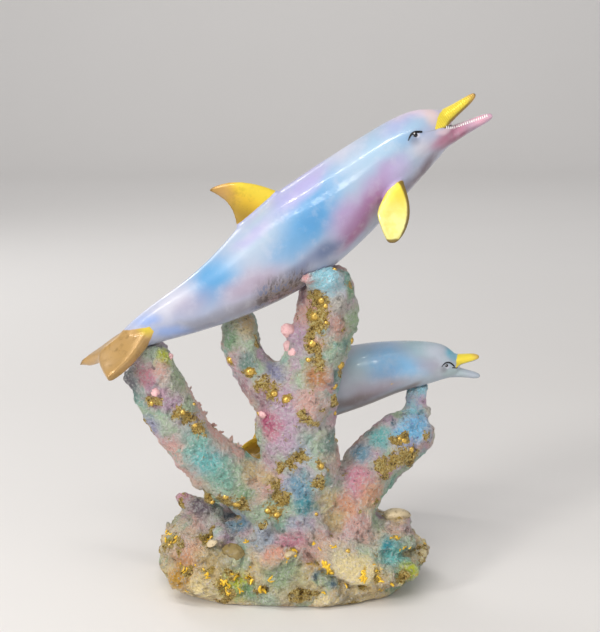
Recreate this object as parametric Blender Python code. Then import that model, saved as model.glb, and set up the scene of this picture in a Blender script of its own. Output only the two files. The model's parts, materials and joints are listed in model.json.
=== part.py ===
# Dolphin figurine: two cast dolphins leaping over a coral-and-rock casting.
# Lengths in the tables are millimetres. +X is the image right, +Y away from the
# viewer, +Z up, with the origin at the middle of the flat underside.
import math
import random

import bpy
from mathutils import Vector

MM = 0.001

# Clearance at the glued seats
GLUE_GAP = 0.30

# Sides around each kind of body
BODY_SIDES = 24
SMALL_SIDES = 20
BEAK_SIDES = 12
SMALL_BEAK_SIDES = 10
FIN_SIDES = 12
TRUNK_SIDES = 20
STEM_SIDES = 16
POST_SIDES = 12
HORN_SIDES = 10
MOUND_SIDES = 40

# Cross-sections: how far a body's flanks draw in toward its back, a fin's edge
# power (1 for a lens, less for a slab) and its swell toward the leading edge
BODY_EGG = 0.08
BEAK_EGG = -0.1
SLAB_EDGE = 0.6
LEADING_SWELL = 0.18

# The coral is fused at this cell size, calmed, and thinned to this many triangles
VOXEL = 1.5
CALM_FACTOR = 0.5
CALM_TURNS = 2
CORAL_TRIANGLES = 5700
STEM_STEPS = 2

# The large dolphin lies in an upright plane through BIG_AT, turned by BIG_YAW.
BIG_AT = (15.0, -10.0)
BIG_YAW = math.radians(12.0)

# Station rows: distance along the plane, height, depth, width, pitch in degrees
BIG_BODY = (
    (65.0, 242.6, 9.0, 8.0, 18.0),
    (63.4, 241.9, 15.5, 13.5, 18.0),
    (60.6, 241.1, 19.8, 17.5, 19.0),
    (54.1, 239.5, 26.5, 22.5, 31.0),
    (45.9, 234.6, 31.1, 27.0, 38.0),
    (37.3, 228.1, 34.8, 30.5, 41.0),
    (28.2, 220.9, 38.1, 33.5, 41.0),
    (19.9, 214.3, 41.0, 36.0, 41.0),
    (10.3, 206.7, 43.8, 38.5, 40.0),
    (1.3, 199.7, 45.9, 40.0, 39.0),
    (-8.2, 192.7, 47.3, 40.5, 38.0),
    (-16.7, 186.3, 47.2, 39.5, 38.0),
    (-26.7, 179.0, 45.2, 37.0, 37.0),
    (-35.0, 172.8, 41.5, 33.0, 36.0),
    (-45.7, 165.7, 35.9, 27.0, 32.5),
    (-55.1, 160.2, 31.3, 23.0, 29.0),
    (-66.5, 154.4, 26.5, 18.5, 25.0),
    (-77.1, 149.9, 22.2, 15.0, 23.5),
    (-86.9, 145.5, 18.0, 12.5, 26.0),
    (-95.9, 140.7, 13.6, 11.5, 31.0),
    (-102.0, 136.8, 9.5, 10.0, 34.0),
    (-107.0, 133.2, 5.0, 7.0, 36.0),
)

# Beak rows: distance, height, depth, width, pitch in degrees
BIG_BEAK = (
    (54.0, 240.4, 9.0, 12.0, 36.0),
    (60.5, 245.2, 9.2, 12.0, 36.0),
    (64.5, 247.9, 7.6, 10.4, 35.0),
    (68.6, 250.7, 6.0, 8.2, 34.0),
    (72.8, 253.6, 5.0, 6.2, 34.0),
    (76.2, 256.2, 3.7, 4.6, 35.0),
    (78.2, 257.8, 2.0, 2.6, 37.0),
)
BIG_JAW = (
    (54.0, 232.6, 9.0, 12.0, 30.0),
    (60.0, 235.2, 10.4, 13.6, 24.0),
    (65.5, 237.4, 8.6, 12.0, 23.0),
    (70.0, 239.4, 7.2, 10.2, 25.0),
    (75.0, 241.8, 6.2, 8.4, 25.0),
    (80.5, 244.2, 5.2, 6.6, 24.0),
    (84.8, 246.0, 4.4, 5.2, 24.0),
    (87.6, 247.1, 2.4, 3.0, 24.0),
)

# Fin rows: leading edge (along, height, side), trailing edge, thickness
BIG_DORSAL = (
    ((-17.0, 203.5, 0.0), (-44.0, 182.0, 0.0), 8.0),
    ((-22.6, 211.0, 0.0), (-44.8, 194.5, 0.0), 6.6),
    ((-29.5, 213.9, 0.0), (-46.0, 200.6, 0.0), 5.2),
    ((-38.0, 216.0, 0.0), (-48.3, 205.0, 0.0), 4.4),
    ((-46.0, 216.5, 0.0), (-51.3, 208.0, 0.0), 3.5),
    ((-52.8, 215.2, 0.0), (-54.8, 210.5, 0.0), 2.8),
    ((-58.0, 212.9, 0.0), (-57.6, 212.0, 0.0), 1.6),
)
BIG_NEAR_FLIPPER = (
    ((35.0, 221.0, -9.0), (28.0, 217.0, -9.0), 5.0),
    ((36.9, 214.5, -16.0), (28.5, 212.8, -16.0), 5.0),
    ((38.5, 207.5, -19.5), (23.6, 206.4, -20.0), 4.6),
    ((38.8, 201.0, -21.5), (20.6, 201.6, -22.5), 4.2),
    ((37.0, 195.2, -23.0), (22.2, 196.6, -24.5), 3.8),
    ((34.2, 190.6, -24.5), (23.8, 191.6, -26.0), 3.2),
    ((30.2, 187.0, -25.5), (26.0, 187.6, -26.5), 2.2),
)
BIG_FAR_FLIPPER = (
    ((35.0, 221.0, 9.0), (28.0, 217.0, 9.0), 5.0),
    ((35.9, 215.6, 17.0), (27.0, 212.8, 17.0), 5.0),
    ((35.0, 213.4, 21.5), (19.0, 207.0, 21.5), 4.6),
    ((31.0, 209.0, 26.5), (13.0, 202.5, 26.0), 4.0),
    ((24.5, 204.6, 30.5), (11.0, 199.8, 29.5), 3.4),
    ((17.0, 200.8, 33.0), (9.5, 198.4, 32.0), 2.4),
)
BIG_NEAR_FLUKE = (
    ((-87.5, 146.0, 1.5), (-113.5, 130.6, 1.5), 9.0),
    ((-88.6, 142.0, -5.0), (-114.4, 128.6, -5.0), 7.4),
    ((-93.4, 135.8, -10.0), (-113.6, 127.4, -10.0), 6.6),
    ((-100.4, 129.8, -15.0), (-112.8, 126.6, -15.0), 5.8),
    ((-106.6, 126.2, -18.4), (-111.6, 125.5, -18.4), 5.0),
    ((-109.4, 124.8, -20.2), (-110.8, 124.8, -20.2), 3.2),
)
BIG_FAR_FLUKE = (
    ((-87.5, 146.0, -1.5), (-113.5, 130.6, -1.5), 9.0),
    ((-99.0, 140.3, 4.5), (-115.8, 128.3, 4.5), 7.6),
    ((-107.6, 132.8, 10.0), (-117.8, 126.2, 10.0), 6.6),
    ((-115.4, 127.5, 15.0), (-120.0, 124.1, 15.0), 5.8),
    ((-121.0, 124.4, 18.6), (-121.6, 122.9, 18.6), 4.6),
    ((-122.6, 122.9, 20.0), (-122.4, 122.4, 20.0), 3.0),
)

SMALL_AT = (60.0, 22.0)
SMALL_YAW = math.radians(3.0)
SMALL_BODY = (
    (29.4, 112.4, 6.0, 5.5, 0.0),
    (28.2, 112.4, 10.0, 9.0, 0.0),
    (26.2, 112.8, 13.6, 12.0, 1.0),
    (22.4, 114.2, 18.2, 15.5, 3.0),
    (17.5, 114.3, 21.0, 18.0, 4.0),
    (12.0, 113.8, 23.6, 20.0, 4.0),
    (2.0, 112.9, 26.8, 22.8, 5.0),
    (-8.0, 111.4, 29.4, 25.0, 9.0),
    (-19.0, 109.0, 33.2, 27.4, 15.0),
    (-29.0, 105.9, 34.6, 27.8, 21.0),
    (-40.0, 101.0, 32.6, 25.8, 27.0),
    (-51.0, 94.4, 27.6, 21.6, 33.0),
    (-61.0, 87.4, 22.0, 16.6, 38.0),
    (-69.5, 80.2, 16.6, 12.0, 43.0),
    (-76.5, 73.0, 12.0, 9.0, 48.0),
    (-80.5, 68.2, 8.6, 7.6, 51.0),
    (-83.4, 64.4, 4.4, 5.6, 53.0),
)
SMALL_BEAK = (
    (22.0, 114.0, 6.6, 8.4, 4.0),
    (27.0, 114.9, 6.8, 8.4, 6.0),
    (30.5, 115.4, 6.0, 7.6, 6.0),
    (34.0, 116.0, 5.2, 6.4, 5.0),
    (37.4, 116.4, 4.4, 5.2, 4.0),
    (39.4, 116.6, 3.0, 3.6, 4.0),
    (40.4, 116.7, 1.5, 2.0, 4.0),
)
SMALL_JAW = (
    (20.0, 109.0, 6.4, 9.0, 4.0),
    (26.5, 108.4, 6.2, 8.6, -5.0),
    (31.0, 107.9, 5.0, 7.2, -7.0),
    (35.5, 107.0, 4.2, 5.6, -8.0),
    (39.2, 106.2, 3.5, 4.4, -10.0),
    (41.2, 105.8, 1.8, 2.4, -12.0),
)
SMALL_DORSAL = (
    ((-26.0, 117.0, 0.0), (-44.0, 110.0, 0.0), 5.4),
    ((-29.5, 123.0, 0.0), (-44.5, 116.6, 0.0), 4.4),
    ((-34.5, 126.6, 0.0), (-45.6, 121.0, 0.0), 3.4),
    ((-40.5, 129.2, 0.0), (-47.6, 125.0, 0.0), 2.6),
    ((-46.5, 130.2, 0.0), (-50.0, 127.6, 0.0), 2.0),
    ((-51.6, 129.2, 0.0), (-51.8, 128.4, 0.0), 1.2),
)
SMALL_FAR_FLIPPER = (
    ((9.0, 107.0, 5.0), (3.0, 106.0, 5.0), 3.6),
    ((9.4, 104.6, 10.5), (3.0, 103.6, 10.5), 3.6),
    ((8.0, 102.6, 14.5), (-2.6, 100.6, 14.5), 3.0),
    ((3.0, 100.6, 18.0), (-6.6, 98.6, 17.5), 2.6),
    ((-3.0, 98.8, 20.0), (-7.4, 97.6, 19.5), 1.8),
)
SMALL_NEAR_FLUKE = (
    ((-71.5, 76.0, 1.0), (-85.6, 62.6, 1.0), 5.6),
    ((-74.5, 75.0, -3.0), (-87.0, 62.6, -3.0), 4.2),
    ((-81.0, 75.4, -7.0), (-88.4, 64.4, -7.0), 3.2),
    ((-86.4, 73.6, -10.5), (-89.2, 67.0, -10.5), 2.6),
    ((-89.4, 71.2, -12.6), (-89.6, 69.6, -12.6), 1.8),
)
SMALL_FAR_FLUKE = (
    ((-71.5, 76.0, -1.0), (-85.6, 62.6, -1.0), 5.6),
    ((-72.0, 71.6, 3.0), (-84.4, 60.4, 3.0), 4.2),
    ((-72.6, 65.0, 7.0), (-83.0, 57.0, 7.0), 3.2),
    ((-75.6, 58.6, 10.5), (-81.6, 54.2, 10.5), 2.6),
    ((-78.4, 54.4, 12.4), (-80.2, 53.0, 12.4), 1.8),
)

# Coral stems: x, y, z, half-width across, half-width front to back
LEFT_STEM = (
    (-72.6, -25.0, 136.0, 7.6, 8.4),
    (-72.0, -25.0, 130.0, 9.8, 10.4),
    (-70.8, -25.0, 122.0, 11.6, 11.8),
    (-68.4, -24.5, 113.0, 13.4, 12.6),
    (-63.8, -23.0, 103.2, 13.8, 12.8),
    (-58.4, -21.0, 92.0, 13.4, 13.0),
    (-50.1, -18.5, 79.5, 13.4, 13.4),
    (-38.6, -15.0, 67.2, 14.6, 14.4),
    (-25.8, -12.0, 56.4, 14.8, 15.0),
    (-12.0, -10.0, 48.0, 16.0, 16.0),
)
STUB_STEM = (
    (-28.4, -8.0, 147.5, 7.0, 7.0),
    (-28.2, -8.0, 141.5, 9.6, 10.0),
    (-27.4, -8.0, 131.0, 9.6, 10.4),
    (-22.9, -8.0, 120.3, 9.8, 11.0),
    (-15.1, -9.0, 109.9, 11.6, 12.6),
    (-5.0, -9.0, 97.0, 14.6, 14.5),
    (2.0, -9.0, 84.0, 16.0, 16.0),
)
TRUNK_STEM = (
    (15.0, -13.5, 171.6, 7.8, 7.6),
    (15.8, -12.5, 168.0, 11.4, 10.8),
    (17.0, -10.4, 161.3, 14.0, 14.0),
    (17.3, -10.0, 149.8, 15.2, 14.0),
    (14.3, -10.0, 136.7, 15.6, 14.4),
    (10.2, -9.5, 123.5, 15.6, 14.6),
    (5.6, -9.0, 110.2, 18.2, 15.0),
    (1.6, -8.5, 96.7, 20.8, 15.6),
    (-0.2, -8.0, 83.1, 20.6, 16.4),
    (4.3, -7.5, 69.1, 20.0, 17.6),
    (0.9, -7.0, 54.8, 27.0, 19.5),
    (0.9, -5.0, 40.0, 31.0, 22.0),
    (0.9, -4.0, 28.0, 33.0, 24.0),
)
RIGHT_STEM = (
    (71.6, 20.5, 81.6, 7.4, 7.0),
    (67.6, 18.0, 78.0, 12.2, 10.6),
    (57.8, 13.0, 73.7, 15.2, 12.4),
    (49.0, 8.0, 67.7, 15.2, 13.2),
    (39.9, 2.0, 60.6, 15.0, 13.8),
    (33.2, -4.0, 52.4, 14.4, 14.0),
    (28.6, -8.0, 43.0, 14.6, 15.0),
    (27.4, -10.0, 32.0, 17.0, 18.0),
)
CHEST_POST = (
    (67.6, 22.0, 106.0, 6.6, 4.2),
    (67.2, 22.0, 100.0, 6.2, 3.8),
    (66.4, 21.6, 93.0, 5.6, 3.8),
    (65.4, 21.0, 86.0, 6.2, 4.6),
    (65.0, 20.0, 78.0, 7.0, 6.0),
)
LEFT_HORN = (
    (-62.6, -11.0, 50.8, 2.0, 2.0),
    (-60.2, -11.0, 49.2, 3.8, 3.4),
    (-55.6, -11.0, 46.2, 5.8, 5.0),
    (-49.0, -10.6, 41.6, 7.6, 6.4),
    (-42.0, -10.0, 35.6, 9.4, 8.0),
)
TRUNK_LIP = (
    (2.6, -29.0, 169.2, 1.6, 1.6),
    (5.0, -28.2, 169.6, 2.9, 2.8),
    (8.8, -26.0, 169.6, 4.2, 4.4),
    (14.0, -21.0, 168.4, 5.6, 6.0),
)

# Slow swelling of the stems and the mound: share of the radius, lobes, shift per level
STEM_WAVES = ((0.045, 3, 0.9), (0.030, 5, -1.7))
MOUND_WAVES = ((0.016, 5, 0.3), (0.014, 9, 0.8), (0.010, 14, -1.1))

# The mound's plan is a squared oval, set off from the centre. Above SLOPE_FROM its
# top falls away toward the rear right corner, by SLOPE_DROP over SLOPE_RUN.
MOUND_SQUARE = 0.86
MOUND_OFFSET = -2.6
SLOPE_FROM = 20.0
SLOPE_DROP = 5.0
SLOPE_RUN = 110.0
SLOPE_LEAN = 1.3

# Rock mound levels: height, half-width, half-depth
MOUND = (
    (-5.0, 60.5, 36.0),
    (0.0, 63.0, 39.5),
    (4.0, 66.6, 42.5),
    (10.0, 69.4, 44.0),
    (16.0, 69.8, 43.2),
    (21.0, 68.6, 41.6),
    (26.0, 66.4, 40.0),
    (31.0, 62.0, 36.4),
    (34.5, 55.0, 30.5),
    (36.5, 38.0, 22.0),
)

# Plates and ledges of the rock: x, y, z, then the three half-sizes
PLATES = (
    (38.0, -31.0, 17.0, 28.0, 13.0, 8.0), (-40.0, -31.0, 14.0, 27.0, 13.0, 10.0),
    (-6.0, -33.0, 29.5, 25.0, 11.0, 5.5), (-51.0, -22.0, 27.0, 18.0, 16.0, 6.5),
    (46.0, -16.0, 27.5, 19.0, 17.0, 6.0), (-30.0, 32.0, 15.0, 26.0, 13.0, 10.0),
    (28.0, 32.0, 18.0, 27.0, 13.0, 8.5), (60.2, -6.0, 17.6, 12.0, 20.0, 5.0),
    (-60.0, 6.0, 14.0, 11.0, 22.0, 9.0), (4.0, 36.0, 27.0, 22.0, 9.0, 6.0),
    (51.0, -6.0, 33.8, 12.0, 8.0, 4.0), (-33.0, -38.0, 25.0, 7.0, 5.0, 3.2),
)

# The trunk's crown, in front of the large dolphin's belly, in the same form
CROWN = (13.6, -21.0, 168.4, 12.2, 7.0, 6.4)

# Lumps behind the trunk that carry the small dolphin's flank and tail
SEATS = (
    (13.0, 6.0, 102.0, 9.0, 9.0, 12.0), (-9.5, 11.0, 70.0, 9.5, 9.0, 10.0),
)

# Knobs that show in the outline: x, y, z, radius
KNOBS = (
    (-83.4, -26.0, 118.5, 3.4), (-60.0, -30.0, 121.5, 3.0), (-78.5, -28.0, 107.5, 3.4),
    (-73.0, -27.0, 96.5, 3.6), (-64.0, -25.0, 83.0, 3.4), (-57.5, -24.0, 71.5, 4.0),
    (-50.0, -20.0, 61.0, 4.2), (-43.5, -17.0, 51.5, 4.6), (-46.5, -19.0, 93.0, 3.0),
    (-37.5, -16.0, 81.5, 3.4), (-28.0, -15.0, 72.5, 3.8), (-35.6, -9.0, 134.0, 3.0),
    (-31.5, -10.0, 122.0, 3.0), (-24.8, -11.0, 111.0, 3.6), (-12.5, -12.0, 98.0, 3.8),
    (-17.6, -11.0, 129.0, 2.8), (-12.0, -10.0, 118.5, 3.4), (26.0, -15.0, 168.0, 3.2),
    (1.6, -14.0, 147.0, 3.2), (-2.4, -15.0, 139.0, 3.6), (-2.0, -12.0, 128.0, 3.6),
    (28.0, -12.0, 162.0, 3.2), (30.4, -12.0, 151.0, 3.0), (30.4, -13.0, 144.0, 3.2),
    (24.2, -13.0, 126.5, 2.8), (21.0, -14.0, 114.0, 3.2), (20.8, -14.0, 102.0, 3.2),
    (18.8, -14.0, 90.0, 3.4), (16.4, -14.0, 77.0, 3.8), (-16.4, -12.0, 86.0, 4.4),
    (-14.0, -12.0, 76.0, 4.6), (72.4, 18.0, 87.4, 3.0), (74.0, 17.0, 75.5, 2.8),
    (69.6, 13.0, 67.4, 3.0), (60.0, 8.0, 61.0, 3.2), (52.0, 2.0, 54.0, 3.4),
    (44.0, -6.0, 45.0, 3.6), (46.0, 7.0, 83.0, 3.0), (36.5, 3.0, 76.0, 3.0),
    (30.5, 0.0, 69.5, 3.4), (56.0, -7.0, 34.8, 3.6), (-38.0, -31.0, 36.0, 5.0),
    (-16.0, -30.0, 40.0, 5.0), (14.0, -30.0, 39.0, 4.4), (-12.0, -26.5, 60.0, 4.0),
    (6.0, -27.0, 52.0, 4.0), (14.0, -24.0, 66.0, 3.6), (-2.0, -25.0, 80.0, 4.0),
    (10.0, -22.5, 96.0, 3.4), (18.0, -24.0, 118.0, 3.0), (10.0, -24.0, 136.0, 3.4),
    (22.0, -23.5, 156.0, 3.0), (8.0, 8.0, 120.0, 3.4), (18.0, 4.0, 150.0, 3.4),
    (-6.0, 10.0, 90.0, 4.0), (12.0, 12.0, 70.0, 4.4), (-34.0, 8.0, 40.0, 5.0),
    (38.0, 16.0, 33.0, 4.6), (0.0, 26.0, 34.0, 5.0),
)

# Rubble round the foot of the mound: how many, then the ranges of height and radius
RUBBLE_COUNT = 44
RUBBLE_SWAY = 0.3
RUBBLE_LEVELS = (5.0, 28.0)
RUBBLE_RADII = (3.2, 6.4)
RUBBLE_REACH = (66.8, 43.0)
RUBBLE_SEED = 7

# The cutter under the floor: half-width, half-depth, depth
FLOOR_CUTTER = (120.0, 90.0, 30.0)


def clear_scene():
    for item in list(bpy.data.objects):
        bpy.data.objects.remove(item, do_unlink=True)
    for mesh in list(bpy.data.meshes):
        bpy.data.meshes.remove(mesh)


def material(name, colour, metallic, roughness):
    made = bpy.data.materials.new(name)
    made.use_nodes = True
    shader = made.node_tree.nodes["Principled BSDF"]
    shader.inputs["Base Color"].default_value = (*colour, 1.0)
    shader.inputs["Metallic"].default_value = metallic
    shader.inputs["Roughness"].default_value = roughness
    return made


def curve_rows(rows, steps):
    # Catmull-Rom rows through the given rows, steps pieces between neighbours
    out = []
    last = len(rows) - 1
    for i in range(last):
        before = rows[max(i - 1, 0)]
        start = rows[i]
        stop = rows[i + 1]
        after = rows[min(i + 2, last)]
        for k in range(steps):
            t = k / steps
            out.append(tuple(blend(a, b, c, d, t) for a, b, c, d in zip(before, start, stop, after)))
    out.append(tuple(rows[last]))
    return out


def blend(a, b, c, d, t):
    return 0.5 * (2 * b + (c - a) * t + (2 * a - 5 * b + 4 * c - d) * t * t
                  + (3 * b - a - 3 * c + d) * t * t * t)


def plane_point(at, yaw, along, height, side):
    # side is positive away from the viewer
    x = at[0] + along * math.cos(yaw) - side * math.sin(yaw)
    y = at[1] + along * math.sin(yaw) + side * math.cos(yaw)
    return Vector((x, y, height))


def skin_rings(name, rings):
    # Closed body from rings of equal count, with a fan at each end
    sides = len(rings[0])
    points = [p * MM for ring in rings for p in ring]
    faces = []
    for r in range(len(rings) - 1):
        for k in range(sides):
            a = r * sides + k
            b = r * sides + (k + 1) % sides
            faces.append((a, b, b + sides, a + sides))
    for r, order in ((0, -1), (len(rings) - 1, 1)):
        centre = len(points)
        points.append(sum(rings[r], Vector()) / sides * MM)
        for k in range(sides):
            a = r * sides + k
            b = r * sides + (k + 1) % sides
            faces.append((a, b, centre) if order > 0 else (b, a, centre))
    mesh = bpy.data.meshes.new(name)
    mesh.from_pydata([tuple(p) for p in points], [], faces)
    mesh.update()
    body = bpy.data.objects.new(name, mesh)
    bpy.context.scene.collection.objects.link(body)
    face_out(body)
    return body


def face_out(body):
    # Turn the faces outward when the signed volume comes out negative
    mesh = body.data
    volume = 0.0
    for face in mesh.polygons:
        first = mesh.vertices[face.vertices[0]].co
        for k in range(1, len(face.vertices) - 1):
            second = mesh.vertices[face.vertices[k]].co
            third = mesh.vertices[face.vertices[k + 1]].co
            volume += first.dot(second.cross(third))
    if volume < 0:
        mesh.flip_normals()


def body_loft(name, rows, at, yaw, sides, grow=0.0, egg=BODY_EGG):
    rings = []
    for along, height, depth, width, pitch in rows:
        tilt = math.radians(pitch)
        centre = plane_point(at, yaw, along, height, 0.0)
        up = plane_point((0, 0), yaw, -math.sin(tilt), math.cos(tilt), 0.0)
        across = plane_point((0, 0), yaw, 0.0, 0.0, 1.0)
        half_depth = depth / 2 + grow
        half_width = width / 2 + grow
        ring = []
        for k in range(sides):
            turn = 2 * math.pi * k / sides
            squeeze = 1.0 - egg * math.cos(turn)
            ring.append(centre + up * (half_depth * math.cos(turn))
                        + across * (half_width * math.sin(turn) * squeeze))
        rings.append(ring)
    return skin_rings(name, rings)


def fin_loft(name, rows, at, yaw, grow=0.0, edge=1.0):
    # An edge value under 1 gives a slab with full edges, and 1 a lens
    ends = []
    for lead, trail, thick in rows:
        ends.append((plane_point(at, yaw, *lead), plane_point(at, yaw, *trail), thick))
    rings = []
    last = len(ends) - 1
    for i, (lead, trail, thick) in enumerate(ends):
        a = ends[max(i - 1, 0)]
        b = ends[min(i + 1, last)]
        span = (b[0] + b[1]) - (a[0] + a[1])
        chord = lead - trail
        flat_way = chord.normalized()
        thick_way = flat_way.cross(span).normalized()
        middle = (lead + trail) / 2
        half = chord.length / 2 + grow
        ring = []
        for k in range(FIN_SIDES):
            turn = 2 * math.pi * k / FIN_SIDES
            forward = math.copysign(abs(math.cos(turn)) ** edge, math.cos(turn))
            swell = math.copysign(abs(math.sin(turn)) ** edge, math.sin(turn))
            lens = swell * (1.0 + LEADING_SWELL * forward)
            ring.append(middle + flat_way * (half * forward)
                        + thick_way * ((thick / 2 + grow) * lens))
        rings.append(ring)
    return skin_rings(name, rings)


def swelling(waves, turn, level):
    lobes_of = (share * math.sin(lobes * turn + shift * level) for share, lobes, shift in waves)
    return 1.0 + sum(lobes_of)


def stem_loft(name, rows, sides):
    # Coral stem with a slow wobble of the radius along and around it
    spaced = curve_rows(rows, STEM_STEPS)
    points = [Vector(row[0:3]) for row in spaced]
    rings = []
    last = len(points) - 1
    for i, row in enumerate(spaced):
        way = (points[min(i + 1, last)] - points[max(i - 1, 0)]).normalized()
        front = Vector((0.0, 1.0, 0.0))
        front = (front - way * front.dot(way)).normalized()
        across = way.cross(front)
        ring = []
        for k in range(sides):
            turn = 2 * math.pi * k / sides
            wave = swelling(STEM_WAVES, turn, i)
            ring.append(points[i] + across * (row[3] * wave * math.cos(turn))
                        + front * (row[4] * wave * math.sin(turn)))
        rings.append(ring)
    return skin_rings(name, rings)


def squared(value):
    return math.copysign(abs(value) ** MOUND_SQUARE, value)


def mound_loft(name):
    rings = []
    for i, (height, half_width, half_depth) in enumerate(MOUND):
        ring = []
        for k in range(MOUND_SIDES):
            turn = 2 * math.pi * k / MOUND_SIDES
            lump = swelling(MOUND_WAVES, turn, i)
            x = half_width * lump * squared(math.cos(turn))
            y = half_depth * lump * squared(math.sin(turn))
            drop = 0.0
            if height > SLOPE_FROM:
                drop = SLOPE_DROP * max(0.0, (x + SLOPE_LEAN * y) / SLOPE_RUN)
            ring.append(Vector((x + MOUND_OFFSET, y, height - drop)))
        rings.append(ring)
    return skin_rings(name, rings)


def knob(name, x, y, z, radius):
    bpy.ops.mesh.primitive_ico_sphere_add(subdivisions=2, radius=radius * MM,
                                          location=(x * MM, y * MM, z * MM))
    made = bpy.context.active_object
    made.name = name
    return made


def plate(name, x, y, z, half_x, half_y, half_z):
    made = knob(name, x, y, z, 1.0)
    made.scale = (half_x, half_y, half_z)
    return made


def slab(name, low, high):
    size = [(b - a) * MM for a, b in zip(low, high)]
    middle = [(a + b) / 2 * MM for a, b in zip(low, high)]
    bpy.ops.mesh.primitive_cube_add(size=1.0, location=middle)
    made = bpy.context.active_object
    made.name = name
    made.scale = size
    return made


def choose(items):
    bpy.ops.object.select_all(action="DESELECT")
    for item in items:
        item.select_set(True)
    bpy.context.view_layer.objects.active = items[0]


def settle(body):
    choose([body])
    bpy.ops.object.convert(target="MESH")
    bpy.ops.object.transform_apply(location=True, rotation=True, scale=True)


def shape(body, kind, **settings):
    # Add a modifier with these settings and apply it
    step = body.modifiers.new(kind.lower(), kind)
    for key, value in settings.items():
        setattr(step, key, value)
    choose([body])
    bpy.ops.object.modifier_apply(modifier=step.name)


def merge_solid(body, tools, operation):
    for tool in tools:
        shape(body, "BOOLEAN", operation=operation, solver="EXACT", object=tool)
    for tool in tools:
        bpy.data.objects.remove(tool, do_unlink=True)
    return body


def keep_largest(body):
    # A cut can leave a crumb: keep the piece with the most vertices
    choose([body])
    bpy.ops.object.mode_set(mode="EDIT")
    bpy.ops.mesh.select_all(action="SELECT")
    bpy.ops.mesh.separate(type="LOOSE")
    bpy.ops.object.mode_set(mode="OBJECT")
    pieces = list(bpy.context.selected_objects)
    pieces.sort(key=lambda item: len(item.data.vertices), reverse=True)
    for crumb in pieces[1:]:
        bpy.data.objects.remove(crumb, do_unlink=True)
    return pieces[0]


def large_dolphin():
    where = (BIG_AT, BIG_YAW)
    body = body_loft("large_dolphin", BIG_BODY, *where, BODY_SIDES)
    parts = [
        body_loft("beak", BIG_BEAK, *where, BEAK_SIDES, egg=BEAK_EGG),
        body_loft("jaw", BIG_JAW, *where, BEAK_SIDES),
        fin_loft("dorsal", BIG_DORSAL, *where),
        fin_loft("near_flipper", BIG_NEAR_FLIPPER, *where, edge=SLAB_EDGE),
        fin_loft("far_flipper", BIG_FAR_FLIPPER, *where, edge=SLAB_EDGE),
        fin_loft("near_fluke", BIG_NEAR_FLUKE, *where, edge=SLAB_EDGE),
        fin_loft("far_fluke", BIG_FAR_FLUKE, *where, edge=SLAB_EDGE),
    ]
    return merge_solid(body, parts, "UNION")


def small_dolphin():
    where = (SMALL_AT, SMALL_YAW)
    body = body_loft("small_dolphin", SMALL_BODY, *where, SMALL_SIDES)
    parts = [
        body_loft("beak", SMALL_BEAK, *where, SMALL_BEAK_SIDES, egg=BEAK_EGG),
        body_loft("jaw", SMALL_JAW, *where, SMALL_BEAK_SIDES),
        fin_loft("dorsal", SMALL_DORSAL, *where),
        fin_loft("far_flipper", SMALL_FAR_FLIPPER, *where),
        fin_loft("near_fluke", SMALL_NEAR_FLUKE, *where),
        fin_loft("far_fluke", SMALL_FAR_FLUKE, *where),
    ]
    return merge_solid(body, parts, "UNION")


def dolphin_room():
    # The dolphins grown by the glue gap, to cut their seats in the coral
    big = (BIG_AT, BIG_YAW)
    small = (SMALL_AT, SMALL_YAW)
    return [
        body_loft("big_seat", BIG_BODY, *big, BODY_SIDES, GLUE_GAP),
        fin_loft("near_fluke_seat", BIG_NEAR_FLUKE, *big, GLUE_GAP, SLAB_EDGE),
        fin_loft("far_fluke_seat", BIG_FAR_FLUKE, *big, GLUE_GAP, SLAB_EDGE),
        body_loft("small_seat", SMALL_BODY, *small, SMALL_SIDES, GLUE_GAP),
        fin_loft("small_near_fluke_seat", SMALL_NEAR_FLUKE, *small, GLUE_GAP),
        fin_loft("small_far_fluke_seat", SMALL_FAR_FLUKE, *small, GLUE_GAP),
    ]


def rubble():
    # Stones round the foot of the mound, the larger ones set further in
    chance = random.Random(RUBBLE_SEED)
    stones = []
    for i in range(RUBBLE_COUNT):
        turn = 2 * math.pi * (i + chance.uniform(-RUBBLE_SWAY, RUBBLE_SWAY)) / RUBBLE_COUNT
        level = chance.uniform(*RUBBLE_LEVELS)
        radius = chance.uniform(*RUBBLE_RADII)
        inset = (radius - RUBBLE_RADII[0] / 2) / RUBBLE_REACH[0]
        x = RUBBLE_REACH[0] * (1.0 - inset) * math.cos(turn) + MOUND_OFFSET
        y = RUBBLE_REACH[1] * (1.0 - inset) * math.sin(turn)
        stones.append(knob("rubble_%d" % i, x, y, level, radius))
    return stones


def coral_pieces():
    pieces = [
        mound_loft("coral_rock"),
        stem_loft("left_stem", LEFT_STEM, STEM_SIDES),
        stem_loft("stub_stem", STUB_STEM, STEM_SIDES),
        stem_loft("trunk_stem", TRUNK_STEM, TRUNK_SIDES),
        stem_loft("right_stem", RIGHT_STEM, STEM_SIDES),
        stem_loft("chest_post", CHEST_POST, POST_SIDES),
        stem_loft("left_horn", LEFT_HORN, HORN_SIDES),
        stem_loft("trunk_lip", TRUNK_LIP, HORN_SIDES),
    ]
    for i, spot in enumerate(KNOBS):
        pieces.append(knob("knob_%d" % i, *spot))
    for i, spot in enumerate(PLATES + SEATS + (CROWN,)):
        pieces.append(plate("plate_%d" % i, *spot))
    return pieces + rubble()


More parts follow.
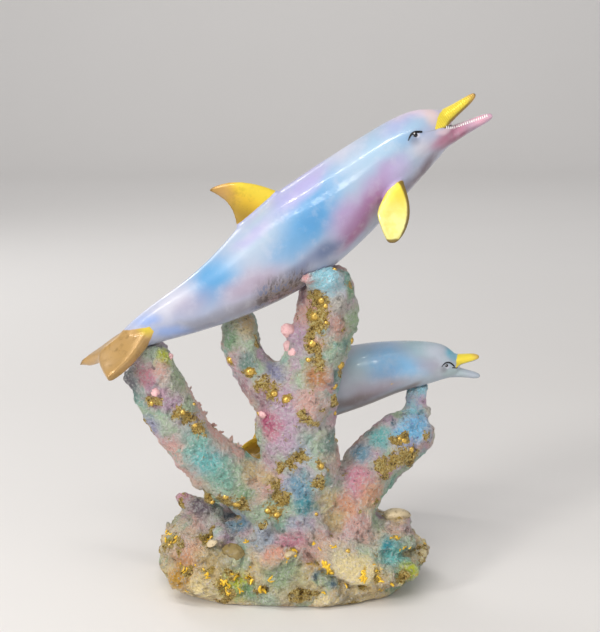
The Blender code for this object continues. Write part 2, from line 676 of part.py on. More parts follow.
def coral_rock():
    choose(coral_pieces())
    bpy.ops.object.join()
    body = bpy.context.active_object
    settle(body)
    shape(body, "REMESH", mode="VOXEL", voxel_size=VOXEL * MM)
    shape(body, "SMOOTH", factor=CALM_FACTOR, iterations=CALM_TURNS)
    triangles = sum(len(face.vertices) - 2 for face in body.data.polygons)
    shape(body, "DECIMATE", ratio=CORAL_TRIANGLES / triangles)
    width, depth, down = FLOOR_CUTTER
    floor = slab("floor_cut", (-width, -depth, -down), (width, depth, 0.0))
    body = merge_solid(body, [floor], "DIFFERENCE")
    body = merge_solid(body, dolphin_room(), "DIFFERENCE")
    body = keep_largest(body)
    body.name = "coral_rock"
    return body


def paint(body, made):
    body.data.materials.clear()
    body.data.materials.append(made)
    for face in body.data.polygons:
        face.material_index = 0


def main():
    clear_scene()
    coral = coral_rock()
    big = large_dolphin()
    small = small_dolphin()
    paint(coral, material("painted_coral", (0.62, 0.56, 0.55), 0.0, 0.6))
    paint(big, material("pearl_gloss", (0.55, 0.60, 0.80), 0.0, 0.2))
    paint(small, material("pearl_gloss_small", (0.45, 0.58, 0.76), 0.0, 0.2))
    for body in (coral, big, small):
        settle(body)
        body.data.name = body.name


main()
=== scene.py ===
import json
import math
import random
from functools import reduce

import bpy
from bpy.props import FloatProperty, FloatVectorProperty, IntProperty, PointerProperty
from bpy.types import Operator, Panel, PropertyGroup
from mathutils import Matrix, Vector
from mathutils.bvhtree import BVHTree

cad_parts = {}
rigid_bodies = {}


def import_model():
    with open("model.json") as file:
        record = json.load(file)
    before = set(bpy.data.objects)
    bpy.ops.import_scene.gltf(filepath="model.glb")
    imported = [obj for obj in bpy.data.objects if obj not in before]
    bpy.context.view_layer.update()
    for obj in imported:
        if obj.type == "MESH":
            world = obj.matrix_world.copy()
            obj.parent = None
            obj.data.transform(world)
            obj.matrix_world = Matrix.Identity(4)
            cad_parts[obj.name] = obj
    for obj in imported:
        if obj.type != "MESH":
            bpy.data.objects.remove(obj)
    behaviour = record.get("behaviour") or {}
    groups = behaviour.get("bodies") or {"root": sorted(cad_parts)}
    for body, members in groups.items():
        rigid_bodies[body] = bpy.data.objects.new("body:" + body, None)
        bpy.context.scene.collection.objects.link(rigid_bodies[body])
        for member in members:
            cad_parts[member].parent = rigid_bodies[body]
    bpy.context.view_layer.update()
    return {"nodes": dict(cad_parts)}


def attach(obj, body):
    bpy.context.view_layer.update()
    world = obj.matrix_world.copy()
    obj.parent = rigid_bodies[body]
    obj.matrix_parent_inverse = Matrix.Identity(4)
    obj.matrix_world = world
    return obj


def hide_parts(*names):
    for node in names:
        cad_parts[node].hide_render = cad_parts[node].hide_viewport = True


bl_info = {
    "name": "Dolphin Figurine",
    "version": (1, 0, 0),
    "blender": (4, 5, 0),
    "location": "3D View > Sidebar > Figurine",
    "description": "Dresses a resin figurine's solids: pearl dolphins with gilt fins over painted coral",
    "category": "Object",
}

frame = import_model()

# Lengths in the tables are millimetres of the figurine
MM = 0.001
MERGE = 0.01 * MM
UP = Vector((0.0, 0.0, 1.0))
WHITE = (1.0, 1.0, 1.0, 1.0)
BOTH_SIDES = (-1.0, 1.0)

# The camera of the photograph. Paint and small pieces on the front are placed where
# it sees them, read on the upright plane PAINT_PLANE through the trunk.
EYE = Vector((3.0, -616.0, 278.0)) * MM
AIM = Vector((3.0, -16.0, 148.0)) * MM
LENS = 69.1
PAINT_PLANE = -16.0 * MM

# Each dolphin lies in an upright plane: a point that it runs through, and its turn about
# +Z. Places in a dolphin's own frame are along the plane, side (negative toward the
# camera) and height.
LARGE_PLANE = ((15.0, -10.0), math.radians(12.0))
SMALL_PLANE = ((60.0, 22.0), math.radians(3.0))
NO_PLANE = ((0.0, 0.0), 0.0)
# A place well off the body's side, and a half width that takes in both flanks
OFF_SIDE = 60.0
ACROSS_ALL = 1.0e4

# The large dolphin's gilded parts in its own frame. A pair is along and height: the mouth
# line's back end and the corner where the jaws part, the roots of fin, flippers and
# flukes. A middle and its reach are along, and so are the fronts.
MOUTH_BACK = (53.8, 241.0)
MOUTH_CORNER = (60.0, 242.0)
BEAK_START = 61.3
DORSAL_ROOT = (-22.4, 212.6)
DORSAL_LEAN = math.radians(40.2)
DORSAL_FRONT = -17.0
DORSAL_HALF_WIDTH = 9.0
FLIPPER_ROOT = (31.0, 222.8)
FLIPPER_LEAN = math.radians(41.0)
FLIPPER_TOP = 218.5
FLIPPER_MIDDLE = 24.0
FLIPPER_REACH = 19.0
FLIPPER_INNER_SIDE = 11.0
FLUKE_TOP = (-101.3, 144.4)
FLUKE_FRONT = (-87.0, 144.4)
FLUKE_FOLD = -86.9
SATIN_FRONT = -80.0
# Half the flank's width and depth at the flippers, and how fast it narrows forward
FLANK_HALF_WIDTH = 16.6
FLANK_HALF_DEPTH = 18.9
FLANK_TAPER = 0.16
# Where its gold turns tan: the tips of fin and beak; where a painted highlight turns it pale: a patch on
# the flukes
DORSAL_TIP = (-55.0, 0.0, 212.0)
BEAK_TIP = (78.5, 0.0, 258.0)
FLUKE_HIGHLIGHT = (-90.0, 4.0, 146.5)
# Its lines of painted shade, from end to end, the grey and light dabs by its eye, and the
# belly's edge above the trunk, below which shade and the coral's reflection are painted
CREASE = ((54.4, 240.9), (46.6, 239.7))
MOUTH_LINE = ((59.4, 242.1), (66.0, 242.5))
EYE_SHADE = (42.6, 13.0, 236.2)
EYE_LIGHT = (44.4, 12.0, 238.4)
BELLY = (0.0, 169.2)
BELLY_SLOPE = 0.33
BELLY_MIDDLE = -24.0

# The same places of the small dolphin
SMALL_BEAK_START = 28.8
SMALL_MOUTH = (28.0, 112.4)
SMALL_FLIPPER_TOP = 105.4
SMALL_FLIPPER_MIDDLE = 1.0
SMALL_FLIPPER_REACH = 10.0
SMALL_FLIPPER_INNER_SIDE = 11.8
SMALL_FLUKE_ROOT = (-78.0, 72.0)
SMALL_FLUKE_LEAN = math.radians(43.8)
SMALL_BACK = (-26.0, 117.0)
SMALL_BACK_LEAN = math.radians(21.2)
SMALL_ARCH_MIDDLE = -35.0
SMALL_ARCH_HEIGHT = 8.4
SMALL_DORSAL_MIDDLE = -40.0
SMALL_DORSAL_REACH = 16.0
SMALL_DORSAL_HALF_WIDTH = 5.0
SMALL_BEAK_TIP = (39.5, 0.0, 118.0)
SMALL_MOUTH_LINE = ((27.8, 111.9), (25.0, 112.4))
SMALL_EYE_SHADE = (20.0, 8.4, 111.8)
SMALL_EYE_LIGHT = (22.0, 7.6, 113.2)
SMALL_BELLY = (0.0, 99.5)
SMALL_BELLY_SLOPE = 0.40

# Airbrushed patches of the large dolphin, brushed in this order: colour, middle along the
# body and height, half length, half width, tilt in degrees, strength
# Among them is painted light: the pearl-white strips along the back and over the tail stock are a painted
# sheen, and the taupe and slate low down and the blue above the trunk are painted shade.
LARGE_PATCHES = (
    ("pearl_white_and_sheen", 10, 237, 48, 11, 33, 0.5),
    ("pale_grey", -37, 190, 30, 17, 40, 0.9),
    ("pale_grey", 0, 205, 30, 15, 48, 0.5),
    ("lavender_pearl", -47, 198, 21, 8, 44, 0.9),
    ("lavender_pearl", -67, 178, 17, 6, 42, 0.8),
    ("lavender_pearl", -19, 210, 18, 8, 46, 0.75),
    ("headland_blue", 27, 233, 23, 13, 32, 0.85),
    ("headland_blue", 11, 221, 23, 11, 36, 0.6),
    ("sky_pearl", -10, 203, 31, 17, 54, 1.0),
    ("sky_deep", -10, 200, 23, 10, 56, 0.8),
    ("sky_pearl", -22, 184, 17, 10, 34, 0.6),
    ("sky_pearl", -58, 169, 19, 14, 42, 1.0),
    ("sky_deep", -60, 166, 13, 8, 42, 0.6),
    ("lilac_pearl", 25, 216, 18, 10, 52, 0.85),
    ("lilac_pearl", 7, 200, 17, 10, 46, 0.8),
    ("lavender_pearl", -12, 215, 24, 6, 47, 0.8),
    ("lavender_pearl", -38, 191, 16, 4, 42, 0.6),
    ("violet_pearl", 21, 206, 20, 8, 46, 0.95),
    ("violet_pearl", 11, 194, 17, 8, 44, 0.9),
    ("magenta_pearl", 11, 190, 15, 4, 46, 0.6),
    ("painted_shade_blue", -4, 183, 13, 7, 36, 0.8),
    ("painted_shade_blue", -17, 175, 11, 5, 40, 0.6),
    ("blush_pearl", -40, 167, 22, 9, 28, 0.75),
    ("painted_shade_taupe", -23, 164, 15, 6, 30, 0.75),
    ("painted_shade_taupe", -36, 158, 20, 4, 18, 0.5),
    ("painted_shade_slate", -63, 149, 34, 5, 16, 0.6),
    ("pearl_white_and_sheen", -77, 158, 17, 7, 34, 0.8),
    ("blush_pearl", -67, 158, 15, 6, 26, 0.4),
    ("fluke_blue", -79, 144, 14, 4.5, 4, 0.8),
    ("fluke_blue", -91, 149, 9, 4, 20, 0.8),
    ("melon_pink", 49, 250, 13, 6, -8, 0.85),
    ("melon_pink", 37, 250, 17, 5, 24, 0.6),
    ("lavender_pearl", 36, 244, 14, 4, 30, 0.45),
    ("melon_peach", 53, 246, 5, 6, 60, 0.55),
    ("sky_pearl", 39, 239, 12, 7, 20, 0.45),
    ("headland_blue", 44, 244, 10, 5, 10, 0.6),
    ("pale_grey", 44, 230, 11, 7, 40, 0.8),
    ("cheek_grey", 47, 232, 8, 7, 30, 0.7),
    ("throat_mauve", 49, 221, 16, 5, 49, 0.9),
    ("throat_mauve", 39, 212, 15, 5, 50, 0.6),
    ("lavender_pearl", 33, 221, 14, 7, 50, 0.5),
    ("jaw_rose", 66, 239, 20, 7, 24, 1.0),
    ("jaw_rose", 59, 236, 10, 4.5, 36, 0.85),
    ("jaw_deep", 68, 236, 18, 2.8, 28, 0.75),
    ("jaw_tip", 82, 246, 9, 6, 20, 1.0),
    ("jaw_cream", 60, 241, 8, 2.5, 12, 0.8),
    ("jaw_cream", 72, 245, 14, 2, 22, 0.6),
)

# Airbrushed patches of the small dolphin, in the same way
# Here too the pearl-white strips along the back and head are a painted sheen, and the taupe low on the
# belly is painted shade.
SMALL_PATCHES = (
    ("small_grey", -34, 112, 20, 16, 0, 0.8),
    ("pearl_white_and_sheen", -12, 127, 30, 6, 2, 0.7),
    ("small_aqua", 7, 125, 15, 6, -6, 0.6),
    ("small_blue", -12, 118, 20, 10, 4, 0.9),
    ("small_blue", -1, 113, 16, 8, 0, 0.8),
    ("small_deep", -13, 111, 14, 6, 8, 0.5),
    ("small_aqua", -27, 115, 12, 9, 60, 0.4),
    ("small_lilac", -17, 102, 26, 8, 12, 0.85),
    ("small_lilac", 12, 114, 11, 6, -20, 0.6),
    ("small_mint", 24, 110, 12, 4, -12, 0.7),
    ("painted_shade_taupe", -30, 97, 22, 5, 14, 0.7),
    ("small_teal", 25, 119, 3.5, 6, 60, 1.0),
    ("pearl_white_and_sheen", 14, 122, 10, 4, -14, 0.5),
)

# Coral paint on the front, brushed in this order: across, height, reach, colour
CORAL_PATCHES = (
    (-85, 113, 9, "slate"), (-82, 102, 8, "slate"), (-76, 83, 9, "slate"), (-61, 59, 9, "slate"),
    (-72, 129, 8, "mint"), (-66, 125, 5, "lime"),
    (-59, 116, 9, "sage"), (-54, 101, 7, "sage"), (-76, 117, 6, "rose"), (-68, 119, 5, "blush"),
    (-71, 104, 7, "mauve"), (-64, 102, 5, "lavender"), (-74, 90, 7, "periwinkle"),
    (-50, 82, 9, "aqua"), (-46, 70, 10, "turquoise"), (-37, 62, 9, "aqua"), (-28, 67, 7, "mint"),
    (-39, 90, 5, "sage"), (-29, 76, 6, "blush"), (-27, 52, 8, "green"),
    (-25, 145, 7, "sand"), (-33, 135, 5, "green"), (-23, 132, 5, "mint"), (-24, 124, 5, "teal"),
    (-16, 129, 5, "lavender"), (-10, 119, 7, "periwinkle"), (-26, 110, 6, "mauve"),
    (-17, 105, 6, "mauve"),
    (17, 168, 12, "glacier"), (10, 172, 5, "lavender"), (5, 167, 5, "coral_pink"), (4, 158, 5, "mauve"),
    (27, 167, 5, "aqua"), (29, 161, 5, "green"), (2, 136, 9, "lavender"), (-5, 104, 8, "lavender"),
    (23, 152, 8, "silver"), (23, 142, 7, "copper_rose"), (12, 133, 6, "peach"), (30, 147, 6, "sage"),
    (12, 117, 8, "copper"),
    (21, 116, 5, "teal"), (26, 133, 5, "teal"), (9, 100, 9, "blush"), (-2, 90, 8, "lavender"),
    (-14, 92, 8, "magenta"), (-11, 85, 5, "rose"), (-4, 80, 8, "lavender"), (4, 76, 7, "ice"),
    (19, 82, 7, "teal"), (-21, 81, 4, "slate"), (-22, 66, 6, "sand"), (3, 57, 8, "sky"),
    (6, 46, 7, "deep_aqua"), (2, 36, 6, "ice"), (14, 37, 5, "silver"), (-13, 61, 6, "sand"),
    (19, 49, 7, "sand"), (26, 49, 6, "copper_rose"),
    (64, 90, 9, "cornflower"), (57, 86, 8, "cornflower"), (54, 97, 5, "mint"),
    (50, 93, 2, "deep_blue"), (57, 96, 2, "deep_blue"), (64, 97, 2, "deep_blue"), (44, 84, 9, "turquoise"),
    (60, 80, 4, "periwinkle"), (69, 86, 4, "ice"),
    (34, 75, 7, "sky"), (26, 68, 6, "silver"), (48, 66, 6, "rose"), (55, 70, 5, "lavender"),
    (33, 61, 9, "rose"), (41, 52, 9, "peach"), (29, 43, 8, "peach"), (21, 37, 7, "sand"),
    (53, 58, 6, "copper_rose"), (63, 110, 9, "glacier"), (62, 104, 5, "ice"), (67, 103, 4, "lavender"),
    (60, 99, 4, "glacier"), (69, 98, 3, "silver"),
    (-59, 52, 5, "rose"), (-50, 45, 7, "slate"), (-35, 40, 6, "deep_blue"), (-30, 36, 7, "sky"),
    (-36, 27, 6, "lavender"), (-16, 27, 8, "ice"), (-1, 27, 9, "rose"), (-10, 18, 7, "hot_rose"),
    (9, 21, 7, "blush"), (-57, 15, 9, "peach"), (-63, 6, 9, "amber"), (-67, 27, 6, "olive"),
    (-43, 13, 11, "sand"), (-50, -2, 8, "straw"), (-31, 1, 8, "lime"), (-24, -3, 7, "green"),
    (-6, 7, 11, "sage"), (3, -2, 8, "stone"), (-14, -8, 7, "mint"), (24, 14, 9, "silver"),
    (26, 13, 7, "straw"), (36, 9, 9, "straw"), (12, 9, 3, "deep_blue"), (21, 2, 3, "deep_blue"),
    (52, 20, 10, "turquoise"), (58, 16, 5, "aqua"), (49, 23, 3, "deep_aqua"), (63, 25, 8, "mint"),
    (62, 10, 7, "lime"), (70, 18, 5, "straw"), (53, 40, 7, "sand"), (36, 33, 9, "blush"),
    (43, -2, 7, "sand"), (28, -7, 7, "stone"), (-71, 16, 5, "sage"),
)

# Gold leaf on the front: across, height, reach
GOLD_PATCHES = (
    (-73, 104, 3.5), (-60, 98, 5), (-54, 94, 6), (-49, 88, 5), (-47, 51, 6), (-36, 48, 8),
    (-28, 47, 7), (-33, 124, 3.5), (-23, 119, 4), (-16, 113, 5), (-11, 108, 5), (-4, 103, 4),
    (12, 156, 7), (9, 149, 6), (13, 149, 6), (11, 143, 6), (8, 137, 6), (11, 131, 6), (12, 124, 5.5),
    (31, 127, 3.5), (24, 119, 3.5), (21, 104, 4.5), (22, 93, 5), (21, 85, 4), (3, 74, 6),
    (-2, 70, 5), (-7, 68, 4), (14, 69, 4), (14, 59, 6), (-10, 58, 6), (-7, 51, 6.5),
    (-11, 43, 6), (-16, 36, 3.5), (68, 84, 4), (54, 82, 5), (59, 74, 8), (53, 71, 6),
    (46, 68, 6), (47, 62, 5), (-47, 27, 7), (-44, 31, 5), (-66, 31, 4), (-68, 24, 5),
    (-57, 9, 4), (-38, 3, 5), (-32, 7, 4), (-24, 5, 4), (-36, -3, 4), (-17, -2, 4),
    (-1, 20, 4), (19, 9, 3), (45, 8, 4), (69, 23, 4), (54, 41, 4), (57, 6, 5),
)

# Bright gold along the plate's lower edge, in the same way
LEDGE_GOLD = (
    (8, 16, 2.2), (10, 14, 1.8), (12, 12, 1.8), (14.5, 9.5, 1.6), (17, 7.5, 1.5), (20, 5.5, 1.4),
    (24, 3, 1.4), (19, 10, 2.4), (37, 7, 2.2), (37, 10, 2.0), (46, 9, 2.2), (47, 6, 1.8),
)

# Small pieces on the front: across, height, radius
BARNACLES = (
    (3, 89, 2.8), (5, 64, 2.8), (26, 61, 2.8), (36, 54, 2.5), (3, 37, 2.5), (16, 75, 2.8),
    (-62, 61, 2.0), (-34, 58, 2.5), (-41, 66, 2.0), (-46, 74, 2.0), (-28, 66, 2.0), (-3, 101, 2.3),
    (-13, 93, 2.3), (-4, 82, 2.0), (20, 74, 2.0), (-12, 104, 2.0), (8, 114, 2.0), (26, 104, 2.0),
    (9, 103, 2.0), (31, 141, 1.8), (18, 125, 1.8), (44, 77, 1.8), (35, 67, 2.0), (30, 49, 2.0),
    (19, 47, 2.0), (6, 52, 2.0), (-4, 49, 2.0), (-17, 66, 2.0), (-25, 62, 2.0), (-36, 74, 1.8),
    (-57, 82, 1.8), (-70, 101, 1.8), (-66, 125, 1.8), (-74, 114, 1.8), (-32, 136, 1.8),
    (-22, 141, 1.8), (60, 90, 1.8), (55, 96, 2.0), (63, 94, 2.0), (53, 56, 1.8), (44, 49, 1.8),
    (24, 38, 1.8), (8, 30, 1.8), (-17, 33, 1.8), (-29, 24, 1.8), (-50, 16, 1.8), (-10, -1, 1.8),
    (56, -1, 1.8), (67, 7, 1.8),
)
BEADS = (
    (-33, 125, 2.3), (-23, 119, 2.5), (-10, 107, 1.8), (-4, 104, 2.3), (29, 135, 2.3),
    (24, 122, 2.5), (21, 111, 2.0), (-30, 47, 2.5), (9, 133, 2.0), (10, 148, 2.5), (14, 156, 1.8),
    (16, 153, 1.5), (7, 125, 1.5), (61, 77, 2.0), (57, 82, 1.8), (-57, 97, 1.5), (-51, 90, 1.5),
    (-36, 51, 1.8), (-43, 48, 1.5), (-14, 43, 2.0), (-9, 41, 1.8), (14, 68, 1.5), (-73, 102, 1.5),
    (21, 97, 1.5), (23, 90, 1.5),
)
PINK_KNOBS = (
    (-4, 141, 3.6), (-3, 133, 3.6), (-1, 129, 2.4), (-63, 127, 2.0), (-71, 108, 2.4), (-16, 96, 2.4),
)
TWIGS = (
    (-47, 103, 2.0), (-44, 97, 2.0), (-41, 91, 2.5), (-38, 87, 2.0), (-33, 82, 3.0),
    (-29, 79, 2.5), (-53, 110, 2.0), (-58, 118, 1.5), (-84, 110, 1.5), (-75, 89, 1.5),
    (-71, 80, 2.0), (12.5, 175, 3.0), (15, 174, 2.4), (69, 98, 2.8),
)
CRINKLES = (
    (-38, 3, 3.0), (-32, 7, 3.0), (-24, 5, 3.0), (-36, -3, 2.5), (-35, 1, 2.5), (-17, -2, 3.0),
    (-1, 20, 3.5), (-3, 16, 2.5), (19, 10, 3.5), (16, 13, 3.0), (36, 9, 2.5), (37, 5, 2.5),
    (45, 10, 2.5), (46, 5, 2.5), (21, 23, 2.0), (10, 24, 2.0), (-66, 31, 2.0), (-64, 27, 2.0),
    (-69, 26, 2.0), (-58, 10, 2.0), (-25, 27, 2.0), (-44, 27, 2.5), (57, 22, 2.0), (53, 27, 2.0),
    (66, 7, 2.0), (-29, -2, 2.0), (-47, 9, 2.0), (-13, 5, 2.0),
)
# Scallops: across, height, radius, turn about the surface's normal
SHELLS = (
    (54, 41, 7.5, 180.0), (-43, 26, 3.6, 20.0), (-2, 19, 3.2, 250.0),
)
# The brown shell: across, height, radius
SNAIL = (-32.5, 21.0, 4.6)

# Eyelid lines: along and height of each place, from the outer end to the inner
LARGE_LID = ((39.4, 235.9), (40.0, 237.4), (41.6, 239.4), (43.9, 240.2), (46.8, 240.0))
SMALL_LID = ((18.6, 113.4), (19.6, 114.9), (21.3, 115.7), (23.9, 115.3), (25.9, 113.0))
LID_TAPER = (0.35, 0.7, 1.0, 1.2, 0.9)
LID_LIFT = 0.05
# Both heads: skin, plane, eyelid, pupil, glint and the eye's share of the large dolphin's
HEADS = (
    ("large_dolphin_skin", LARGE_PLANE, LARGE_LID, (43.2, 238.7), (42.7, 239.2), 1.0),
    ("small_dolphin_skin", SMALL_PLANE, SMALL_LID, (21.4, 114.0), (20.9, 114.4), 0.72),
)
# An eye's height, and its glint's radius and lift, as shares of its radius
EYE_HEIGHT = 0.4
GLINT_SHARE = 0.28
GLINT_LIFT = 0.35

# The tooth rows on the lower jaw: along and height at the mouth's corner, where the jaws
# part, and at the tip
TOOTH_ROW = ((60.8, 241.5), (66.0, 241.0), (84.0, 246.8))
TOOTH_COUNT = 21
TOOTH_SINK = 0.25

# The smooth plate on the rock's front, counterclockwise: across and height of each corner
PLATE = ((7.0, 31.6), (15.6, 21.4), (29.2, 13.2), (37.3, 14.3), (42.3, 21.4), (40.6, 29.4), (28.1, 33.7),
         (13.0, 34.8))
FRONT = -20.0
# The crack under the plate ends this far across
CRACK_END = 35.2

# The coral's relief starts above the flat underside, at SOLE, and is whole a little higher.
# Between ROCK_TOP and STEM_FOOT the rock's relief gives way to the stems'.
SOLE = 0.4
CRUST_FULL = 5.0
ROCK_FULL = 6.0
ROCK_TOP = 34.0
STEM_FOOT = 42.0
# Sizes of the relief's features
LUMP_SIZE = 9.0
LEDGE_SIZE = 10.0
CHIP_SIZE = 4.2
FOLD_SIZE = 6.0
GRAIN_CELL = 2.4
# How far the rock's ledges are drawn out along each axis, and sharp crumpled ridges
STRATA = (1.7, 1.7, 1.0)
RIDGES = {"noise_type": "HARD_NOISE", "noise_depth": 2}
# The texture values that leave the surface where it is
ROCK_LEVEL = 0.35
FOLD_LEVEL = 0.4

# The crust in the paint: the size of its rounded grains, and shares of grit and folds
GRAIN_SIZE = 1.5
GRIT_SHARE = 1.4
FOLD_SHARE = 2.8
CRUST_MIDDLE = 1.1
CRUST_DEPTH = 2.6
# Crust heights where the dark wash with painted shade and the dry brush with painted highlights set in,
# and how strong they are
HOLLOWS = 0.95
TIPS = 1.05
HOLLOW_WASH_AND_SHADE = 0.62
TIP_BRUSH_AND_HIGHLIGHT = 0.58
# The same on the pits and edges of the mesh itself: painted shade in the pits, painted highlights on the
# edges
PIT_WASH_AND_SHADE = 0.5
EDGE_BRUSH_AND_HIGHLIGHT = 0.5
# How much the pastels are deepened and lightened
PASTEL_DEPTH = 1.35
PASTEL_LIGHT = 1.5
# The rock's own paint sets in below ROCK_PAINT_TOP and is whole from ROCK_PAINT_FULL down.
# Its washes and painted shade are thinner than the coral's by the share ROCK_RELIEF.
ROCK_PAINT_TOP = 42.0
ROCK_PAINT_FULL = 20.0
ROCK_COAT = 0.85
ROCK_RELIEF = 0.6
# How far a patch of paint or of leaf spreads past its reach, and a patch's strength
PATCH_SPREAD = 1.45
PATCH_STRENGTH = 0.92
LEAF_SPREAD = 1.3

# Plain lacquers: colour, roughness, metallic, and strength, size and colour of the wear
LACQUERS = {
    "glint_white": ("tooth", 0.2, 0.0, 0.0, 1.0, "crevice"),
    "eye_ink": ("ink_and_mouth_shade", 0.08, 0.0, 0.0, 1.0, "crevice"),
    "tooth_white": ("tooth", 0.2, 0.0, 0.0, 1.0, "crevice"),
    "bead_gilt": ("leaf_gold", 0.22, 0.6, 0.9, 1.8, "leaf_bronze_and_shade"),
    "knob_rose": ("coral_pink", 0.5, 0.0, 0.7, 1.2, "magenta"),
    "crinkle_gilt": ("gilt", 0.3, 0.25, 0.6, 2.0, "leaf_bronze_and_shade"),
    "shell_sand": ("sand", 0.4, 0.0, 0.7, 2.2, "leaf_bronze_and_shade"),
    "shell_rind": ("rind", 0.35, 0.0, 0.8, 2.5, "crevice"),
}

# Turned shapes: radius and height of each ring, from the foot up
RING_PROFILE = ((1.25, -0.5), (1.0, 0.25), (0.72, 0.62), (0.42, 0.45), (0.2, 0.12))
DOME_PROFILE = ((1.0, -0.4), (0.95, 0.2), (0.72, 0.62), (0.35, 0.88))

# Pieces strewn over the coral on every side: how many at most, their radii and spacing,
# the lowest height that they go to, and the seed of their places
STREWN = {
    "barnacles": {"count": 70, "radii": (0.9, 1.5), "spacing": 9.0, "low": 6.0, "seed": 12},
    "beads": {"count": 18, "radii": (0.9, 1.5), "spacing": 16.0, "low": 14.0, "seed": 22},
    "crinkles": {"count": 160, "radii": (1.0, 2.2), "spacing": 3.0, "low": 4.0, "seed": 42},
    "shells": {"count": 14, "radii": (2.6, 4.2), "spacing": 14.0, "low": 8.0, "seed": 52},
}
TRIES_PER_PIECE = 30
# A face whose normal points further down than this carries none
STEEPEST_DOWN = -0.5
# Crinkles and shells stay on the rock
CRINKLE_TOP = 32.0
SHELL_TOP = 34.0
# Seeds of the pieces' turns and sizes
SEEDS = {"barnacles": 11, "beads": 21, "twigs": 31, "crinkles": 41, "shells": 51}
# How deep a piece sits, as a share of its radius
SINK = {"barnacles": 0.2, "beads": 0.3, "knobs": 0.2}
# Wear that makes repeated pieces uneven: size of its features and height
WEAR = {
    "barnacle_wear": (1.5, 0.6),
    "bead_wear": (1.6, 0.7),
    "knob_wear": (1.6, 1.8),
    "twig_wear": (1.8, 1.2),
    "crinkle_wear": (2.0, 1.2),
    "snail_wear": (3.0, 1.6),
}
TWIGS_PER_PLACE = 3
CRINKLES_PER_PLACE = 3
CRINKLE_STRAY = 1.6
SHELL_SEGMENTS = 40
SHELL_RIB = 0.11

# The studio, in metres: floor, backdrop and what the lamps are aimed at
FLOOR_SIZE = 6.0
BACKDROP_HEIGHT = 3.0
BACKDROP_CURVE = 0.8
MIDDLE = (0.0, 0.0, 0.14)
ROCK_MIDDLE = (0.0, 0.0, 0.06)
BACKDROP = (0.0, 3.0, 1.0)
WHITE_LIGHT = (1.0, 1.0, 1.0)
WARM_LIGHT = (1.0, 0.97, 0.93)
WARMER_LIGHT = (1.0, 0.95, 0.90)
SURROUND = (0.93, 0.93, 0.95, 1.0)
# The lamps: name, place, what it is aimed at, width and height, power setting and tint
LAMPS = (
    ("key_front", (-0.25, -0.85, 1.0), MIDDLE, (1.0, 0.18), "key_power", WARM_LIGHT),
    ("key_top", (-0.20, -0.45, 1.22), MIDDLE, (1.0, 0.05), "key_power", WARM_LIGHT),
    ("relief", (-1.3, -1.15, 0.70), ROCK_MIDDLE, (0.35, 0.35), "relief_power", WARM_LIGHT),
    ("fill", (1.0, -0.8, 0.5), MIDDLE, (0.8, 0.8), "fill_power", WARMER_LIGHT),
    ("rim", (-0.7, 0.9, 0.8), MIDDLE, (0.5, 0.5), "rim_power", WHITE_LIGHT),
    ("wash", (0.0, 0.8, 1.6), BACKDROP, (2.0, 0.5), "wash_power", WHITE_LIGHT),
)


def length(name, text, size):
    """A size that a user may change, given in millimetres and held in metres."""
    return FloatProperty(name=name, description=text, default=size * MM, min=0.0, precision=5,
                         subtype="DISTANCE", unit="LENGTH")


def hue(name, text, *shade):
    """A colour that a user may change, as it looks on a screen."""
    return FloatVectorProperty(name=name, description=text, default=shade, min=0.0, max=1.0,
                               size=3, subtype="COLOR_GAMMA")


class FigurineSizes(PropertyGroup):
    """Sizes of the surface detail"""
    large_cell: length("Large Skin Cell", "Mesh cell of the large dolphin's skin", 0.62)
    small_cell: length("Small Skin Cell", "Mesh cell of the small dolphin's skin", 0.5)
    skin_swell: length("Skin Swell", "Lacquer that makes up for the smoothing of the skins", 0.12)
    coral_cell: length("Coral Cell", "Mesh cell of the coral's crust", 0.95)
    plate_rise: length("Plate", "How far the smooth plate stands off the rock's front", 1.3)
    crack_depth: length("Crack", "Depth of the crack under the plate", 1.8)
    lump_height: length("Lumps", "Height of the coral's broad lumps", 2.4)
    fold_height: length("Folds", "Height of the folds on the stems", 1.8)
    grain_height: length("Grains", "Height of the coral's coarse grains", 0.9)
    ledge_height: length("Ledges", "Height of the base's ledges and crevices", 5.0)
    chip_height: length("Chips", "Height of the base's small flakes", 3.2)
    tooth_height: length("Teeth", "Height of the large dolphin's teeth", 1.4)
    eye_radius: length("Eye", "Radius of the large dolphin's eye", 1.2)
    lid_radius: length("Lid", "Half the thickness of the large dolphin's eyelid line", 0.58)
    skin_calm: IntProperty(name="Skin Smoothing", description="Smoothing turns of the dolphins' skins",
                           default=6, min=0, max=40)


